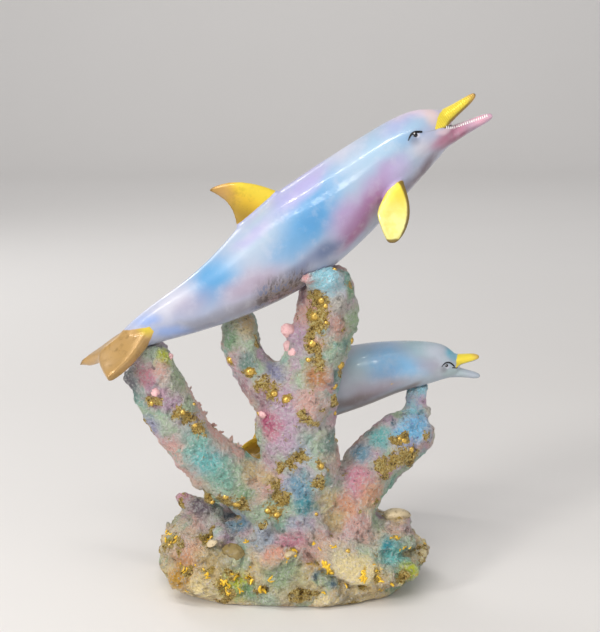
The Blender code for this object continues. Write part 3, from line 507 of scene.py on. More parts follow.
class FigurineColours(PropertyGroup):
    """Colours of the paints"""
    pearl_base: hue("Pearl", "Ground coat of the large dolphin", 0.66, 0.69, 0.79)
    # Pearl white is the pearl's own tone and the eyes' white, and is also laid in strips along the backs
    # as a painted sheen
    pearl_white_and_sheen: hue("Pearl White", "White sheen on the backs", 0.81, 0.81, 0.86)
    pale_grey: hue("Pale Grey", "Grey-blue of the mid flank", 0.66, 0.74, 0.82)
    sky_pearl: hue("Sky Pearl", "Strong blue of the flank", 0.40, 0.64, 0.82)
    sky_deep: hue("Sky Deep", "Heart of the blue patches", 0.32, 0.58, 0.79)
    headland_blue: hue("Head Blue", "Light blue of the head and shoulders", 0.60, 0.74, 0.84)
    lavender_pearl: hue("Lavender Pearl", "Lavender along the back", 0.71, 0.67, 0.85)
    blush_pearl: hue("Blush Pearl", "Pink-grey of the belly", 0.68, 0.61, 0.69)
    lilac_pearl: hue("Lilac Pearl", "Lilac behind the flipper", 0.69, 0.57, 0.75)
    violet_pearl: hue("Violet Pearl", "Violet-rose of the lower flank", 0.62, 0.44, 0.62)
    magenta_pearl: hue("Magenta Pearl", "Rose streak low on the flank", 0.62, 0.36, 0.52)
    # Painted shade low on the dolphins: blue above the trunk, taupe under the belly, slate under the tail
    # and in the mouth's crease
    painted_shade_blue: hue("Dusk Blue", "Blue shade above the trunk", 0.34, 0.42, 0.58)
    painted_shade_taupe: hue("Shade Taupe", "Brown-grey under the belly", 0.49, 0.42, 0.39)
    painted_shade_slate: hue("Shade Slate", "Grey under the tail", 0.52, 0.52, 0.56)
    throat_mauve: hue("Throat Mauve", "Grey-mauve of the throat", 0.42, 0.34, 0.39)
    cheek_grey: hue("Cheek Grey", "Pale grey of the cheek", 0.76, 0.74, 0.79)
    melon_pink: hue("Melon Pink", "Pinkish white of the forehead", 0.88, 0.80, 0.85)
    melon_peach: hue("Melon Peach", "Peach at the root of the beak", 0.91, 0.78, 0.70)
    fluke_blue: hue("Fluke Blue", "Periwinkle above the tail", 0.55, 0.66, 0.88)
    jaw_rose: hue("Jaw Rose", "Rose of the lower jaw", 0.74, 0.50, 0.60)
    jaw_deep: hue("Jaw Shade", "Deep rose under the jaw", 0.58, 0.34, 0.43)
    jaw_tip: hue("Jaw Tip", "Pink of the jaw's tip", 0.88, 0.66, 0.74)
    jaw_cream: hue("Gum", "Whitish pink of the gums", 0.90, 0.80, 0.84)
    small_base: hue("Small Pearl", "Ground coat of the small dolphin", 0.65, 0.70, 0.75)
    small_grey: hue("Small Grey", "Blue-grey of the small dolphin's rear", 0.78, 0.80, 0.84)
    small_blue: hue("Small Blue", "Sky blue of the small dolphin", 0.50, 0.73, 0.90)
    small_deep: hue("Small Deep Blue", "Deeper blue of the small flank", 0.47, 0.63, 0.80)
    small_aqua: hue("Small Aqua", "Aqua of the small dolphin's nape", 0.62, 0.79, 0.82)
    small_lilac: hue("Small Lilac", "Lilac-grey of the small belly", 0.64, 0.60, 0.66)
    small_teal: hue("Small Teal", "Teal behind the small beak", 0.40, 0.69, 0.78)
    small_mint: hue("Small Mint", "Pale mint of the small jaw", 0.64, 0.73, 0.73)
    gilt: hue("Gilt", "Gold enamel of the dorsal fin", 0.95, 0.78, 0.22)
    # Lemon gilt is also a painted highlight on the dorsal fin's upper front and on the flukes
    gilt_lemon: hue("Lemon Gilt", "Bright enamel of flippers and beaks", 0.97, 0.88, 0.28)
    # Pale gilt is a painted highlight low on the flippers
    gilt_pale_highlight: hue("Pale Gilt", "Palest enamel on the flippers", 0.99, 0.97, 0.62)
    # The gilt's bronze is wear, and also painted shade on rims and on the dorsal fin's lower part
    gilt_worn_and_shade: hue("Gilt Shade", "Bronze where the gilding is worn", 0.46, 0.35, 0.14)
    gilt_tan: hue("Gilt Tip", "Tan of the tips", 0.84, 0.66, 0.38)
    champagne: hue("Champagne Gilt", "Satin gold of the flukes", 0.74, 0.59, 0.36)
    # Ink is the eyes' black, and also the painted shade in the mouth's corner where the jaws part
    ink_and_mouth_shade: hue("Ink", "Black of the eyes and mouth lines", 0.03, 0.04, 0.07)
    tooth: hue("Tooth", "White of the teeth", 0.97, 0.96, 0.96)
    slate: hue("Slate", "Dark grey-mauve coral", 0.44, 0.41, 0.45)
    mint: hue("Mint", "Pale mint coral", 0.73, 0.79, 0.71)
    sage: hue("Sage", "Grey-green coral", 0.68, 0.75, 0.64)
    rose: hue("Rose", "Rose-pink coral", 0.87, 0.67, 0.72)
    hot_rose: hue("Hot Rose", "Strong rose of the base", 1.00, 0.76, 0.70)
    blush: hue("Blush", "Pale pink coral", 0.88, 0.75, 0.72)
    mauve: hue("Mauve", "Mauve coral", 0.63, 0.52, 0.55)
    lavender: hue("Lavender", "Lavender coral", 0.80, 0.71, 0.78)
    periwinkle: hue("Periwinkle", "Blue-lavender coral", 0.66, 0.66, 0.76)
    aqua: hue("Aqua", "Pale aqua coral", 0.58, 0.75, 0.71)
    turquoise: hue("Turquoise", "Turquoise coral", 0.54, 0.78, 0.78)
    deep_aqua: hue("Deep Aqua", "Deep turquoise coral", 0.38, 0.61, 0.66)
    sky: hue("Sky", "Sky-blue coral", 0.53, 0.67, 0.74)
    cornflower: hue("Cornflower", "Bright blue coral", 0.66, 0.86, 1.0)
    deep_blue: hue("Deep Blue", "Dark blue in the crevice", 0.31, 0.40, 0.46)
    teal: hue("Teal", "Grey-teal coral", 0.47, 0.58, 0.55)
    green: hue("Green", "Green coral", 0.56, 0.68, 0.56)
    lime: hue("Lime", "Yellow-green of the base", 0.80, 0.82, 0.46)
    olive: hue("Olive", "Olive of the base", 0.66, 0.64, 0.36)
    ice: hue("Ice", "Blue-white coral", 0.76, 0.79, 0.84)
    glacier: hue("Glacier", "Pale blue of the trunk's top", 0.76, 0.94, 1.0)
    silver: hue("Silver", "Pale grey coral", 0.74, 0.73, 0.70)
    sand: hue("Sand", "Sandy tan coral", 0.83, 0.76, 0.62)
    straw: hue("Straw", "Cream yellow of the base", 0.98, 0.92, 0.76)
    amber: hue("Amber", "Amber of the base", 0.83, 0.68, 0.45)
    peach: hue("Peach", "Orange-peach coral", 0.90, 0.73, 0.64)
    copper: hue("Copper", "Copper coral", 0.78, 0.60, 0.49)
    copper_rose: hue("Copper Rose", "Pink-brown coral", 0.79, 0.65, 0.61)
    coral_pink: hue("Coral Pink", "Salmon coral", 0.91, 0.74, 0.74)
    magenta: hue("Magenta", "Magenta coral", 0.78, 0.49, 0.59)
    stone: hue("Stone", "Brown-grey of the base", 0.68, 0.63, 0.52)
    # The crevice colour is a dark wash and also painted shade: in the hollows, the pits and under the
    # belly
    crevice: hue("Crevice", "Dark wash left in the hollows", 0.26, 0.22, 0.21)
    leaf_gold: hue("Leaf Gold", "Gold leaf on the coral", 0.86, 0.72, 0.36)
    # The gold leaf's pale tone is a painted highlight, and its bronze is wear and painted shade
    leaf_highlight: hue("Leaf Light", "Bright edges of the gold leaf", 0.97, 0.92, 0.66)
    leaf_bronze_and_shade: hue("Leaf Bronze", "Bronze of the worn leaf", 0.40, 0.30, 0.13)
    rind: hue("Rind", "Brown of the oval shell", 0.55, 0.48, 0.30)
    floor: hue("Floor", "Studio floor and backdrop", 0.90, 0.89, 0.88)


class StageSettings(PropertyGroup):
    """Light of the studio"""
    key_power: FloatProperty(name="Key", description="Power of each of the two long lights above",
                             default=4.0, min=0.0, subtype="POWER", unit="POWER")
    relief_power: FloatProperty(name="Relief", description="Power of the small light that shows the crust",
                                default=15.0, min=0.0, subtype="POWER", unit="POWER")
    fill_power: FloatProperty(name="Fill", description="Power of the light from the right",
                              default=2.2, min=0.0, subtype="POWER", unit="POWER")
    rim_power: FloatProperty(name="Rim", description="Power of the light from behind",
                             default=3.0, min=0.0, subtype="POWER", unit="POWER")
    wash_power: FloatProperty(name="Wash", description="Power of the light on the backdrop alone",
                              default=12.0, min=0.0, subtype="POWER", unit="POWER")
    sky_strength: FloatProperty(name="Surround", description="Brightness of the room around",
                                default=0.42, min=0.0)


def sizes():
    return bpy.context.scene.figurine_sizes


def linear(shade):
    """A screen colour as the light values a shader takes."""
    return tuple(((part + 0.055) / 1.055) ** 2.4 if part > 0.04045 else part / 12.92 for part in shade)


def shade_of(name):
    return (*linear(getattr(bpy.context.scene.figurine_colours, name)), 1.0)


class Wire:
    """A number on its way through a material. Python's operators on it add the Math nodes."""

    def __init__(self, paint, socket):
        self.paint = paint
        self.socket = socket

    def __add__(self, other):
        return self.paint.sum("ADD", self, other)

    __radd__ = __add__

    def __sub__(self, other):
        return self.paint.sum("SUBTRACT", self, other)

    def __rsub__(self, other):
        return self.paint.sum("SUBTRACT", other, self)

    def __mul__(self, other):
        return self.paint.sum("MULTIPLY", self, other)

    __rmul__ = __mul__

    def __truediv__(self, other):
        return self.paint.sum("DIVIDE", self, other)

    def __pow__(self, other):
        return self.paint.sum("POWER", self, other)

    def __abs__(self):
        return self.paint.sum("ABSOLUTE", self)


class Paint:
    """One paint being mixed. Places in it are millimetres of the figurine."""

    def __init__(self, name):
        self.material = bpy.data.materials.new(name)
        self.material.use_nodes = True
        self.tree = self.material.node_tree
        self.shader = self.tree.nodes["Principled BSDF"]

    def node(self, kind, sockets, result=0, **settings):
        """Adds a node: its settings first, then the values or wires of its sockets."""
        made = self.tree.nodes.new(kind)
        for key, value in settings.items():
            setattr(made, key, value)
        for key, value in sockets.items():
            self.feed(made.inputs[key], value)
        return Wire(self, made.outputs[result])

    def feed(self, socket, value):
        if isinstance(value, Wire):
            self.tree.links.new(value.socket, socket)
        else:
            socket.default_value = value

    def sum(self, operation, *values):
        return self.node("ShaderNodeMath", dict(enumerate(values)), operation=operation)

    def least(self, *values):
        return reduce(lambda made, value: self.sum("MINIMUM", made, value), values)

    def most(self, *values):
        return reduce(lambda made, value: self.sum("MAXIMUM", made, value), values)

    def place(self, plane=NO_PLANE):
        """Where the surface is, in millimetres of the figurine or of a dolphin's own frame."""
        (across, deep), yaw = plane
        spot = self.node("ShaderNodeTexCoord", {}, "Object")
        return self.node("ShaderNodeMapping", {
            "Vector": spot, "Location": (across * MM, deep * MM, 0.0), "Rotation": (0.0, 0.0, yaw),
            "Scale": (MM, MM, MM)}, vector_type="TEXTURE")

    def split(self, spot):
        return [self.node("ShaderNodeSeparateXYZ", {"Vector": spot}, axis) for axis in "XYZ"]

    def join(self, x, y, z):
        return self.node("ShaderNodeCombineXYZ", {"X": x, "Y": y, "Z": z})

    def noise(self, spot, size, detail=2.0, rough=0.5, result="Fac"):
        sockets = {"Vector": spot, "Scale": 1.0 / size, "Detail": detail, "Roughness": rough}
        return self.node("ShaderNodeTexNoise", sockets, result)

    def clouds(self, spot, size, start, stop, detail=2.0, rough=0.5):
        """Soft clouds: 0 where a noise is at start, 1 where it is at stop."""
        return self.ease(self.noise(spot, size, detail, rough), start, stop)

    def cells(self, spot, size):
        """The distance to the middles of rounded cells."""
        return self.node("ShaderNodeTexVoronoi", {"Vector": spot, "Scale": 1.0 / size}, "Distance",
                         feature="SMOOTH_F1")

    def vector(self, operation, sockets, result="Vector"):
        return self.node("ShaderNodeVectorMath", sockets, result, operation=operation)

    def stray(self, spot, size, reach):
        """The place pushed about by a slow noise, so that edges wander as if brushed."""
        push = self.vector("SUBTRACT", {0: self.noise(spot, size, result="Color"), 1: (0.5, 0.5, 0.5)})
        push = self.vector("SCALE", {0: push, "Scale": 2.0 * reach})
        return self.vector("ADD", {0: spot, 1: push})

    def ease(self, value, start, stop):
        """0 at start and 1 at stop, eased at both ends."""
        return self.node("ShaderNodeMapRange", {"Value": value, "From Min": start, "From Max": stop},
                         interpolation_type="SMOOTHSTEP")

    def above(self, value, edge, soft=0.15):
        """0 below the edge and 1 above it, with a narrow soft border."""
        return self.ease(value, edge - soft, edge + soft)

    def below(self, value, edge, soft=0.15):
        """1 below the edge and 0 above it, with a narrow soft border."""
        return self.ease(value, edge + soft, edge - soft)

    def ball(self, spot, centre, reach, core=0.35):
        """1 within the core share of the reach round the centre, fading to 0 at the reach."""
        gap = self.vector("DISTANCE", {0: spot, 1: centre}, "Value")
        return self.ease(gap, reach, core * reach)

    def airbrush(self, spot, middle, half_long, half_wide, tilt):
        """A soft oval sprayed on both flanks, in a dolphin's own frame."""
        inside_oval = self.node("ShaderNodeMapping", {
            "Vector": spot, "Location": (middle[0], 0.0, middle[1]),
            "Rotation": (0.0, -math.radians(tilt), 0.0),
            "Scale": (half_long, ACROSS_ALL, half_wide)}, vector_type="TEXTURE")
        gap = self.vector("LENGTH", {0: inside_oval}, "Value")
        return self.ease(gap, 1.1, 0.15)

    def stroke(self, along, height, start, stop, half_width, soft=0.2):
        """A drawn line between two places of a dolphin's own frame."""
        run = (stop[0] - start[0], stop[1] - start[1])
        reach = run[0] ** 2 + run[1] ** 2
        share = ((along - start[0]) * run[0] + (height - start[1]) * run[1]) / reach
        share = self.least(self.most(share, 0.0), 1.0)
        off_along = along - start[0] - share * run[0]
        off_height = height - start[1] - share * run[1]
        off = (off_along ** 2.0 + off_height ** 2.0) ** 0.5
        return self.ease(off, half_width + soft, half_width - soft)

    def mix(self, under, over, share):
        """One colour over another, each of them a wire, a value or the name of a colour."""
        made = self.tree.nodes.new("ShaderNodeMix")
        made.data_type = "RGBA"
        under, over = (shade_of(shade) if isinstance(shade, str) else shade for shade in (under, over))
        for socket, value in zip((made.inputs[0], made.inputs[6], made.inputs[7]), (share, under, over)):
            self.feed(socket, value)
        return Wire(self, made.outputs[2])

    def bump(self, height, depth, strength=1.0):
        """Relief from a height. One unit of the height stands for the depth, in millimetres."""
        sockets = {"Height": height, "Distance": depth * MM, "Strength": strength}
        return self.node("ShaderNodeBump", sockets)

    def finish(self, **sockets):
        """Feeds the shader, and returns the finished material."""
        for name, value in sockets.items():
            self.feed(self.shader.inputs[name.replace("_", " ")], value)
        return self.material


def pick_only(*items):
    bpy.ops.object.select_all(action="DESELECT")
    for item in items:
        item.select_set(True)
    bpy.context.view_layer.objects.active = items[0]


def apply(piece, kind, **settings):
    """Adds a modifier with these settings and applies it."""
    step = piece.modifiers.new(kind.title(), kind)
    for key, value in settings.items():
        setattr(step, key, value)
    pick_only(piece)
    bpy.ops.object.modifier_apply(modifier=step.name)


def settle(*pieces):
    """Moves each piece's place, turn and scale into its mesh."""
    pick_only(*pieces)
    bpy.ops.object.transform_apply(location=True, rotation=True, scale=True)


def joined(pieces):
    """One piece out of several."""
    settle(*pieces)
    bpy.ops.object.join()
    return bpy.context.active_object


def copies(model, places):
    """One joined piece holding a copy of the model, with its own mesh, at each place."""
    twins = []
    for place in places:
        twin = model.copy()
        twin.data = model.data.copy()
        bpy.context.scene.collection.objects.link(twin)
        twin.matrix_world = place @ model.matrix_world
        twins.append(twin)
    bpy.data.objects.remove(model, do_unlink=True)
    return joined(twins)


def finish_piece(piece, name, material, slot, *replaced):
    """Places, names and paints a piece, and says what it rides on and stands for."""
    settle(piece)
    bpy.ops.object.shade_smooth()
    piece.name = name
    piece.data.name = name
    piece.data.materials.clear()
    piece.data.materials.append(material)
    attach(piece, "root")
    if replaced:
        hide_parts(*replaced)


def skin_of(node):
    """A copy of a CAD node with its loose triangles merged into one skin."""
    pick_only(frame["nodes"][node])
    bpy.ops.object.duplicate()
    skin = bpy.context.active_object
    bpy.ops.object.parent_clear(type="CLEAR_KEEP_TRANSFORM")
    bpy.ops.object.mode_set(mode="EDIT")
    bpy.ops.mesh.select_all(action="SELECT")
    bpy.ops.mesh.remove_doubles(threshold=MERGE)
    bpy.ops.mesh.tris_convert_to_quads(face_threshold=math.radians(50.0),
                                       shape_threshold=math.radians(60.0))
    bpy.ops.object.mode_set(mode="OBJECT")
    return skin


def dolphin_skin(node, cell):
    """The dolphin's solid, rounded off: subdivided, cast in one mesh and calmed."""
    skin = skin_of(node)
    apply(skin, "SUBSURF", levels=2, render_levels=2)
    apply(skin, "REMESH", mode="VOXEL", voxel_size=cell)
    apply(skin, "SMOOTH", factor=0.5, iterations=sizes().skin_calm)
    apply(skin, "DISPLACE", strength=sizes().skin_swell, mid_level=0.0)
    return skin


def surface_of(name):
    """The final surface of a piece, to set smaller pieces on."""
    mesh = bpy.data.objects[name].data
    return BVHTree.FromPolygons([v.co for v in mesh.vertices], [p.vertices for p in mesh.polygons])


def seen(surface, across, height):
    """Where the camera's line through a place on the paint plane meets the surface."""
    target = Vector((across * MM, PAINT_PLANE, height * MM))
    spot, normal, _, _ = surface.ray_cast(EYE, (target - EYE).normalized())
    return spot, normal


def found(surface, rows):
    """The rows of a table, each begun by across and height, that the camera sees on the
    surface: spot, normal and the rest of the row."""
    for across, height, *rest in rows:
        spot, normal = seen(surface, across, height)
        if spot is not None:
            yield (spot, normal, *rest)


def dolphin_point(plane, along, side, height):
    """A place in a dolphin's own frame as a place of the figurine."""
    (across, deep), yaw = plane
    spot = Matrix.Rotation(yaw, 3, "Z") @ Vector((along, side, 0.0))
    return (spot + Vector((across, deep, height))) * MM


def stand_on(spot, normal, spin=0.0, size=1.0, sink=0.0):
    """The matrix that stands a piece on a surface: its own +Z along the normal."""
    turn = normal.to_track_quat("Z", "Y").to_matrix().to_4x4()
    place = Matrix.Translation(spot - normal * sink)
    return place @ turn @ Matrix.Rotation(spin, 4, "Z") @ Matrix.Scale(size, 4)


def slide(along, height, root, lean):
    """How far a place lies along the line that leans up through the root."""
    return math.cos(lean) * (along - root[0]) + math.sin(lean) * (height - root[1])


def lift(along, height, root, lean):
    """How far a place lies above the line that leans up through the root."""
    return math.cos(lean) * (height - root[1]) - math.sin(lean) * (along - root[0])


def rise_over(along, height, start, slope):
    """How far a place lies straight above the line through start."""
    return height - (start[1] + slope * (along - start[0]))


def pearl_paint(name, ground, patches, plane, details):
    """Airbrushed pearl lacquer, with a painted sheen and painted shade among its patches, and the gilding,
    lines and painted shade that details() adds.
    """
    paint = Paint(name)
    along, side, height = paint.split(paint.place(plane))
    side = abs(side)
    spot = paint.stray(paint.join(along, side, height), 18.0, 4.0)
    colour = paint.mix(ground, "pearl_white_and_sheen", 0.4 * paint.clouds(spot, 26.0, 0.4, 0.7, 3.0))
    for hue_name, *middle, half_long, half_wide, tilt, strength in patches:
        share = paint.airbrush(spot, middle, half_long, half_wide, tilt) * strength
        colour = paint.mix(colour, hue_name, share)
    colour = paint.mix(colour, "pearl_white_and_sheen", 0.22 * paint.clouds(spot, 7.0, 0.48, 0.72, 4.0, 0.6))
    return details(paint, colour, along, side, height)


def gild(paint, colour, mask, gold, spot, relief_height):
    """Lays gold over a colour where the mask is 1, with painted shade on the gold's sharp rims, and
    finishes the lacquer.
    """
    bend = paint.node("ShaderNodeNewGeometry", {}, "Pointiness")
    # Painted shade darkens the gold on its sharp rims, found by curvature
    gold = paint.mix(gold, "gilt_worn_and_shade", 0.75 * paint.ease(bend, 0.525, 0.56))
    colour = paint.mix(colour, gold, mask)
    peel = paint.noise(spot, 4.0, 3.0)
    normal = paint.bump(relief_height + 0.22 * peel, 0.5, 0.8)
    # The lacquer thins out in streaks, which breaks the lights' reflections up
    film = paint.clouds(spot, 6.0, 0.43, 0.58, 3.0, 0.6) * paint.clouds(spot, 34.0, 0.36, 0.56, 1.0)
    return paint.finish(Base_Color=colour, Metallic=mask * 0.2, Roughness=0.30 - 0.02 * mask,
                        Coat_Weight=(0.12 + 0.88 * film) * (1.0 - 0.3 * mask), Normal=normal,
                        Coat_Roughness=0.06, Coat_IOR=1.5)


def large_parts(paint, along, side, height):
    """Masks of the large dolphin's gilded parts: beak, dorsal fin, flippers and flukes."""
    # The beak starts behind the forehead's crease, above the mouth's corner
    gape = paint.least(rise_over(along, height, MOUTH_BACK, 0.15),
                       rise_over(along, height, MOUTH_CORNER, 0.5))
    beak = paint.least(paint.above(along + 0.70 * side, BEAK_START), paint.above(gape, 0.0))
    dorsal = paint.least(paint.above(lift(along, height, DORSAL_ROOT, DORSAL_LEAN), 0.7),
                         paint.below(side, DORSAL_HALF_WIDTH, 0.2),
                         paint.below(along, DORSAL_FRONT, 0.2))
    # The flank under a flipper is an oval; the flipper is what stands outside it
    half_width = FLANK_HALF_WIDTH - FLANK_TAPER * slide(along, height, FLIPPER_ROOT, FLIPPER_LEAN)
    depth = lift(along, height, FLIPPER_ROOT, FLIPPER_LEAN)
    flank = (side / half_width) ** 2.0 + (depth / FLANK_HALF_DEPTH) ** 2.0
    flipper = paint.least(paint.above(flank, 1.13, 0.03), paint.below(height, FLIPPER_TOP, 0.3),
                          paint.below(abs(along - FLIPPER_MIDDLE), FLIPPER_REACH, 0.3),
                          paint.above(side, FLIPPER_INNER_SIDE))
    fluke = paint.least(paint.below(rise_over(along, height, FLUKE_TOP, 0.17), 0.0, 0.2),
                        paint.below(rise_over(along, height, FLUKE_FRONT, -1.0), 0.0, 0.2),
                        paint.below(along - 0.45 * (height - FLUKE_FRONT[1]), FLUKE_FOLD, 0.2))
    return gape, beak, dorsal, flipper, fluke


def large_gold(paint, spot, along, height, gape, beak, dorsal, flipper):
    """Lemon enamel on beak and flippers, paler low on the flippers as a painted highlight; on the dorsal,
    bronze low down as painted shade and reflection, a painted lemon highlight at its upper front and tan
    high at its tip; painted shade on flipper rims and the beak's edge; satin flukes with a painted
    highlight.
    """
    worn = paint.noise(spot, 4.0, 4.0, 0.6)
    gold = paint.mix("gilt", "gilt_worn_and_shade", 0.4 * paint.ease(worn, 0.52, 0.72))
    gold = paint.mix(gold, "gilt_tan", paint.ball(spot, DORSAL_TIP, 14.0, 0.2) * dorsal)
    # On the dorsal fin: bronze low down as painted shade and reflection, and a painted lemon highlight at
    # its upper front
    slope = 0.5 * along + height
    gold = paint.mix(gold, "gilt_worn_and_shade", 0.7 * paint.ease(slope, 191.0, 178.0) * dorsal)
    lemon_highlight = 0.7 * paint.ease(slope, 186.0, 194.0) * paint.ease(along, -49.0, -42.0)
    gold = paint.mix(gold, "gilt_lemon", lemon_highlight * dorsal)
    # Beak and flippers in lemon, paler low on the flippers as a painted highlight
    pale_highlight = (0.6 + 0.4 * paint.ease(worn, 0.36, 0.60)) * paint.ease(height, 214.0, 196.0)
    gold = paint.mix(gold, paint.mix("gilt_lemon", "gilt_pale_highlight", pale_highlight), paint.most(beak, flipper))
    # The rear and lower rims of a flipper and the beak's edge along the mouth are darkened as painted
    # shade
    edge = paint.most(along - (37.3 - 0.021 * (height - 204.5) ** 2.0), 188.4 - height)
    gold = paint.mix(gold, "gilt_worn_and_shade", 0.9 * paint.ease(edge, -1.5, -0.5) * flipper)
    rim = paint.ease(gape - 0.30 * (along - MOUTH_CORNER[0]), 1.6, 0.0) * beak
    gold = paint.mix(gold, "gilt_worn_and_shade", 0.8 * rim)
    gold = paint.mix(gold, "gilt_tan", paint.ball(spot, BEAK_TIP, 9.0, 0.2) * 0.9)
    satin = paint.mix("champagne", "gilt_worn_and_shade", 0.5 * paint.ease(worn, 0.5, 0.75))
    # A painted highlight on the flukes
    satin = paint.mix(satin, "gilt_lemon", 0.8 * paint.ball(spot, FLUKE_HIGHLIGHT, 7.0, 0.2))
    return paint.mix(gold, satin, paint.below(along, SATIN_FRONT, 2.0))


def large_details(paint, colour, along, side, height):
    """Gilding, eye shade, mouth lines of painted shade, and painted shade and reflection on the belly of
    the large dolphin.
    """
    spot = paint.stray(paint.join(along, side, height), 2.5, 0.35)
    along, side, height = paint.split(spot)
    gape, beak, dorsal, flipper, fluke = large_parts(paint, along, side, height)
    gold = large_gold(paint, spot, along, height, gape, beak, dorsal, flipper)
    # Painted shade drawn in lines: grey in the mouth's line behind the beak, ink in the crease at its
    # corner where the jaws part; and a grey eye shade
    crease = paint.stroke(along, height, *CREASE, 0.12) * paint.ease(along, 45.0, 54.0)
    corner = paint.stroke(along, height, *MOUTH_LINE, 0.55, 0.3)
    colour = paint.mix(colour, "slate", 0.45 * paint.ball(spot, EYE_SHADE, 4.4, 0.1))
    colour = paint.mix(colour, "pearl_white_and_sheen", 0.8 * paint.ball(spot, EYE_LIGHT, 1.8, 0.4))
    colour = paint.mix(colour, "painted_shade_slate", 0.8 * crease)
    colour = paint.mix(colour, "ink_and_mouth_shade", corner)
    # Painted shade and a painted reflection of the coral on the belly above the trunk, brown and blue,
    # streaked like runs of paint
    run = paint.noise(paint.join(along, side, 0.08 * height), 2.4, 3.0, 0.7)
    belly = paint.ease(rise_over(along, height, BELLY, BELLY_SLOPE), 15.0, 5.0)
    belly = belly * paint.ease(abs(along - BELLY_MIDDLE), 17.0, 8.0)
    colour = paint.mix(colour, "painted_shade_taupe", 0.6 * belly)
    colour = paint.mix(colour, "crevice", 0.75 * belly * paint.ease(run, 0.48, 0.60))
    colour = paint.mix(colour, "painted_shade_blue", 0.7 * belly * paint.ease(run, 0.46, 0.38))
    # Dimples on the flippers, fine ridges across the beak
    dent = paint.cells(spot, 2.8)
    ridge = paint.sum("SINE", (0.84 * along + 0.54 * height) * 5.5)
    mask = paint.most(beak, dorsal, flipper, fluke)
    return gild(paint, colour, mask, gold, spot, 0.35 * dent * flipper + 0.16 * ridge * beak)


def small_parts(paint, along, side, height):
    """Masks of the small dolphin's gilded parts: beak, and all of them together."""
    beak = paint.least(paint.above(along + 0.35 * side, SMALL_BEAK_START),
                       paint.above(rise_over(along, height, SMALL_MOUTH, 0.30), 0.0))
    flipper = paint.least(paint.above(side, SMALL_FLIPPER_INNER_SIDE),
                          paint.below(height, SMALL_FLIPPER_TOP, 0.3),
                          paint.below(abs(along - SMALL_FLIPPER_MIDDLE), SMALL_FLIPPER_REACH, 0.3))
    fluke = paint.below(slide(along, height, SMALL_FLUKE_ROOT, SMALL_FLUKE_LEAN), 0.0, 0.3)
    # The back is an arch; the dorsal fin is what stands above it
    arch = SMALL_ARCH_HEIGHT - 0.011 * (along - SMALL_ARCH_MIDDLE) ** 2.0
    dorsal = paint.least(paint.above(lift(along, height, SMALL_BACK, SMALL_BACK_LEAN) - arch, 0.3),
                         paint.below(side, SMALL_DORSAL_HALF_WIDTH, 0.2),
                         paint.below(abs(along - SMALL_DORSAL_MIDDLE), SMALL_DORSAL_REACH, 0.2))
    return beak, paint.most(beak, dorsal, flipper, fluke)


def small_details(paint, colour, along, side, height):
    """Gilding, eye shade, mouth line and painted shade along the belly of the small dolphin."""
    spot = paint.stray(paint.join(along, side, height), 2.5, 0.3)
    along, side, height = paint.split(spot)
    beak, mask = small_parts(paint, along, side, height)
    worn = paint.noise(spot, 3.0, 4.0, 0.6)
    gold = paint.mix("gilt", "gilt_worn_and_shade", 0.6 * paint.ease(worn, 0.52, 0.75))
    gold = paint.mix(gold, "gilt_lemon", beak)
    gold = paint.mix(gold, "gilt_tan", paint.ball(spot, SMALL_BEAK_TIP, 5.0) * 0.6)
    colour = paint.mix(colour, "slate", 0.5 * paint.ball(spot, SMALL_EYE_SHADE, 3.4, 0.1))
    colour = paint.mix(colour, "pearl_white_and_sheen", 0.7 * paint.ball(spot, SMALL_EYE_LIGHT, 1.5, 0.4))
    # Painted shade: a taupe band low along the belly, fading out toward the head
    band = paint.ease(rise_over(along, height, SMALL_BELLY, SMALL_BELLY_SLOPE), 5.0, 2.2)
    colour = paint.mix(colour, "painted_shade_taupe", 0.75 * (band * paint.ease(along, 10.0, 4.0)))
    mouth = paint.stroke(along, height, *SMALL_MOUTH_LINE, 0.35)
    colour = paint.mix(colour, "ink_and_mouth_shade", mouth)
    return gild(paint, colour, mask, gold, spot, 0.0)


def coral_crust(paint, place):
    """The height of the crust's fine relief: rounded grains, grit and short folds."""
    spot = paint.stray(place, 2.2, 0.6)
    grain = 1.0 - paint.cells(spot, GRAIN_SIZE)
    grit = paint.noise(spot, 0.9, 3.0, 0.8)
    fold = abs(paint.noise(spot, 4.6, 4.0, 0.65) - 0.5)
    return grain + GRIT_SHARE * grit - FOLD_SHARE * fold


def coral_pastels(paint, surface, place, spot, on_rock):
    """Slow pastel clouds on the hidden sides, tans on the rock, and the front's own patches."""
    colour = paint.mix("lavender", "mint", paint.clouds(spot, 24.0, 0.38, 0.62))
    colour = paint.mix(colour, "blush", paint.clouds(spot, 31.0, 0.46, 0.68, 2.0, 0.4))
    colour = paint.mix(colour, "aqua", paint.clouds(spot, 19.0, 0.52, 0.72, 3.0, 0.6))
    rock = paint.mix("sand", "straw", paint.clouds(place, 15.0, 0.45, 0.6, 3.0))
    rock = paint.mix(rock, "sage", paint.clouds(place, 21.0, 0.52, 0.62, 3.0, 0.6))
    colour = paint.mix(colour, rock, on_rock * ROCK_COAT)
    for centre, _, reach, hue_name in found(surface, CORAL_PATCHES):
        patch = paint.ball(spot, centre / MM, reach * PATCH_SPREAD, 0.2)
        colour = paint.mix(colour, hue_name, PATCH_STRENGTH * patch)
    return colour


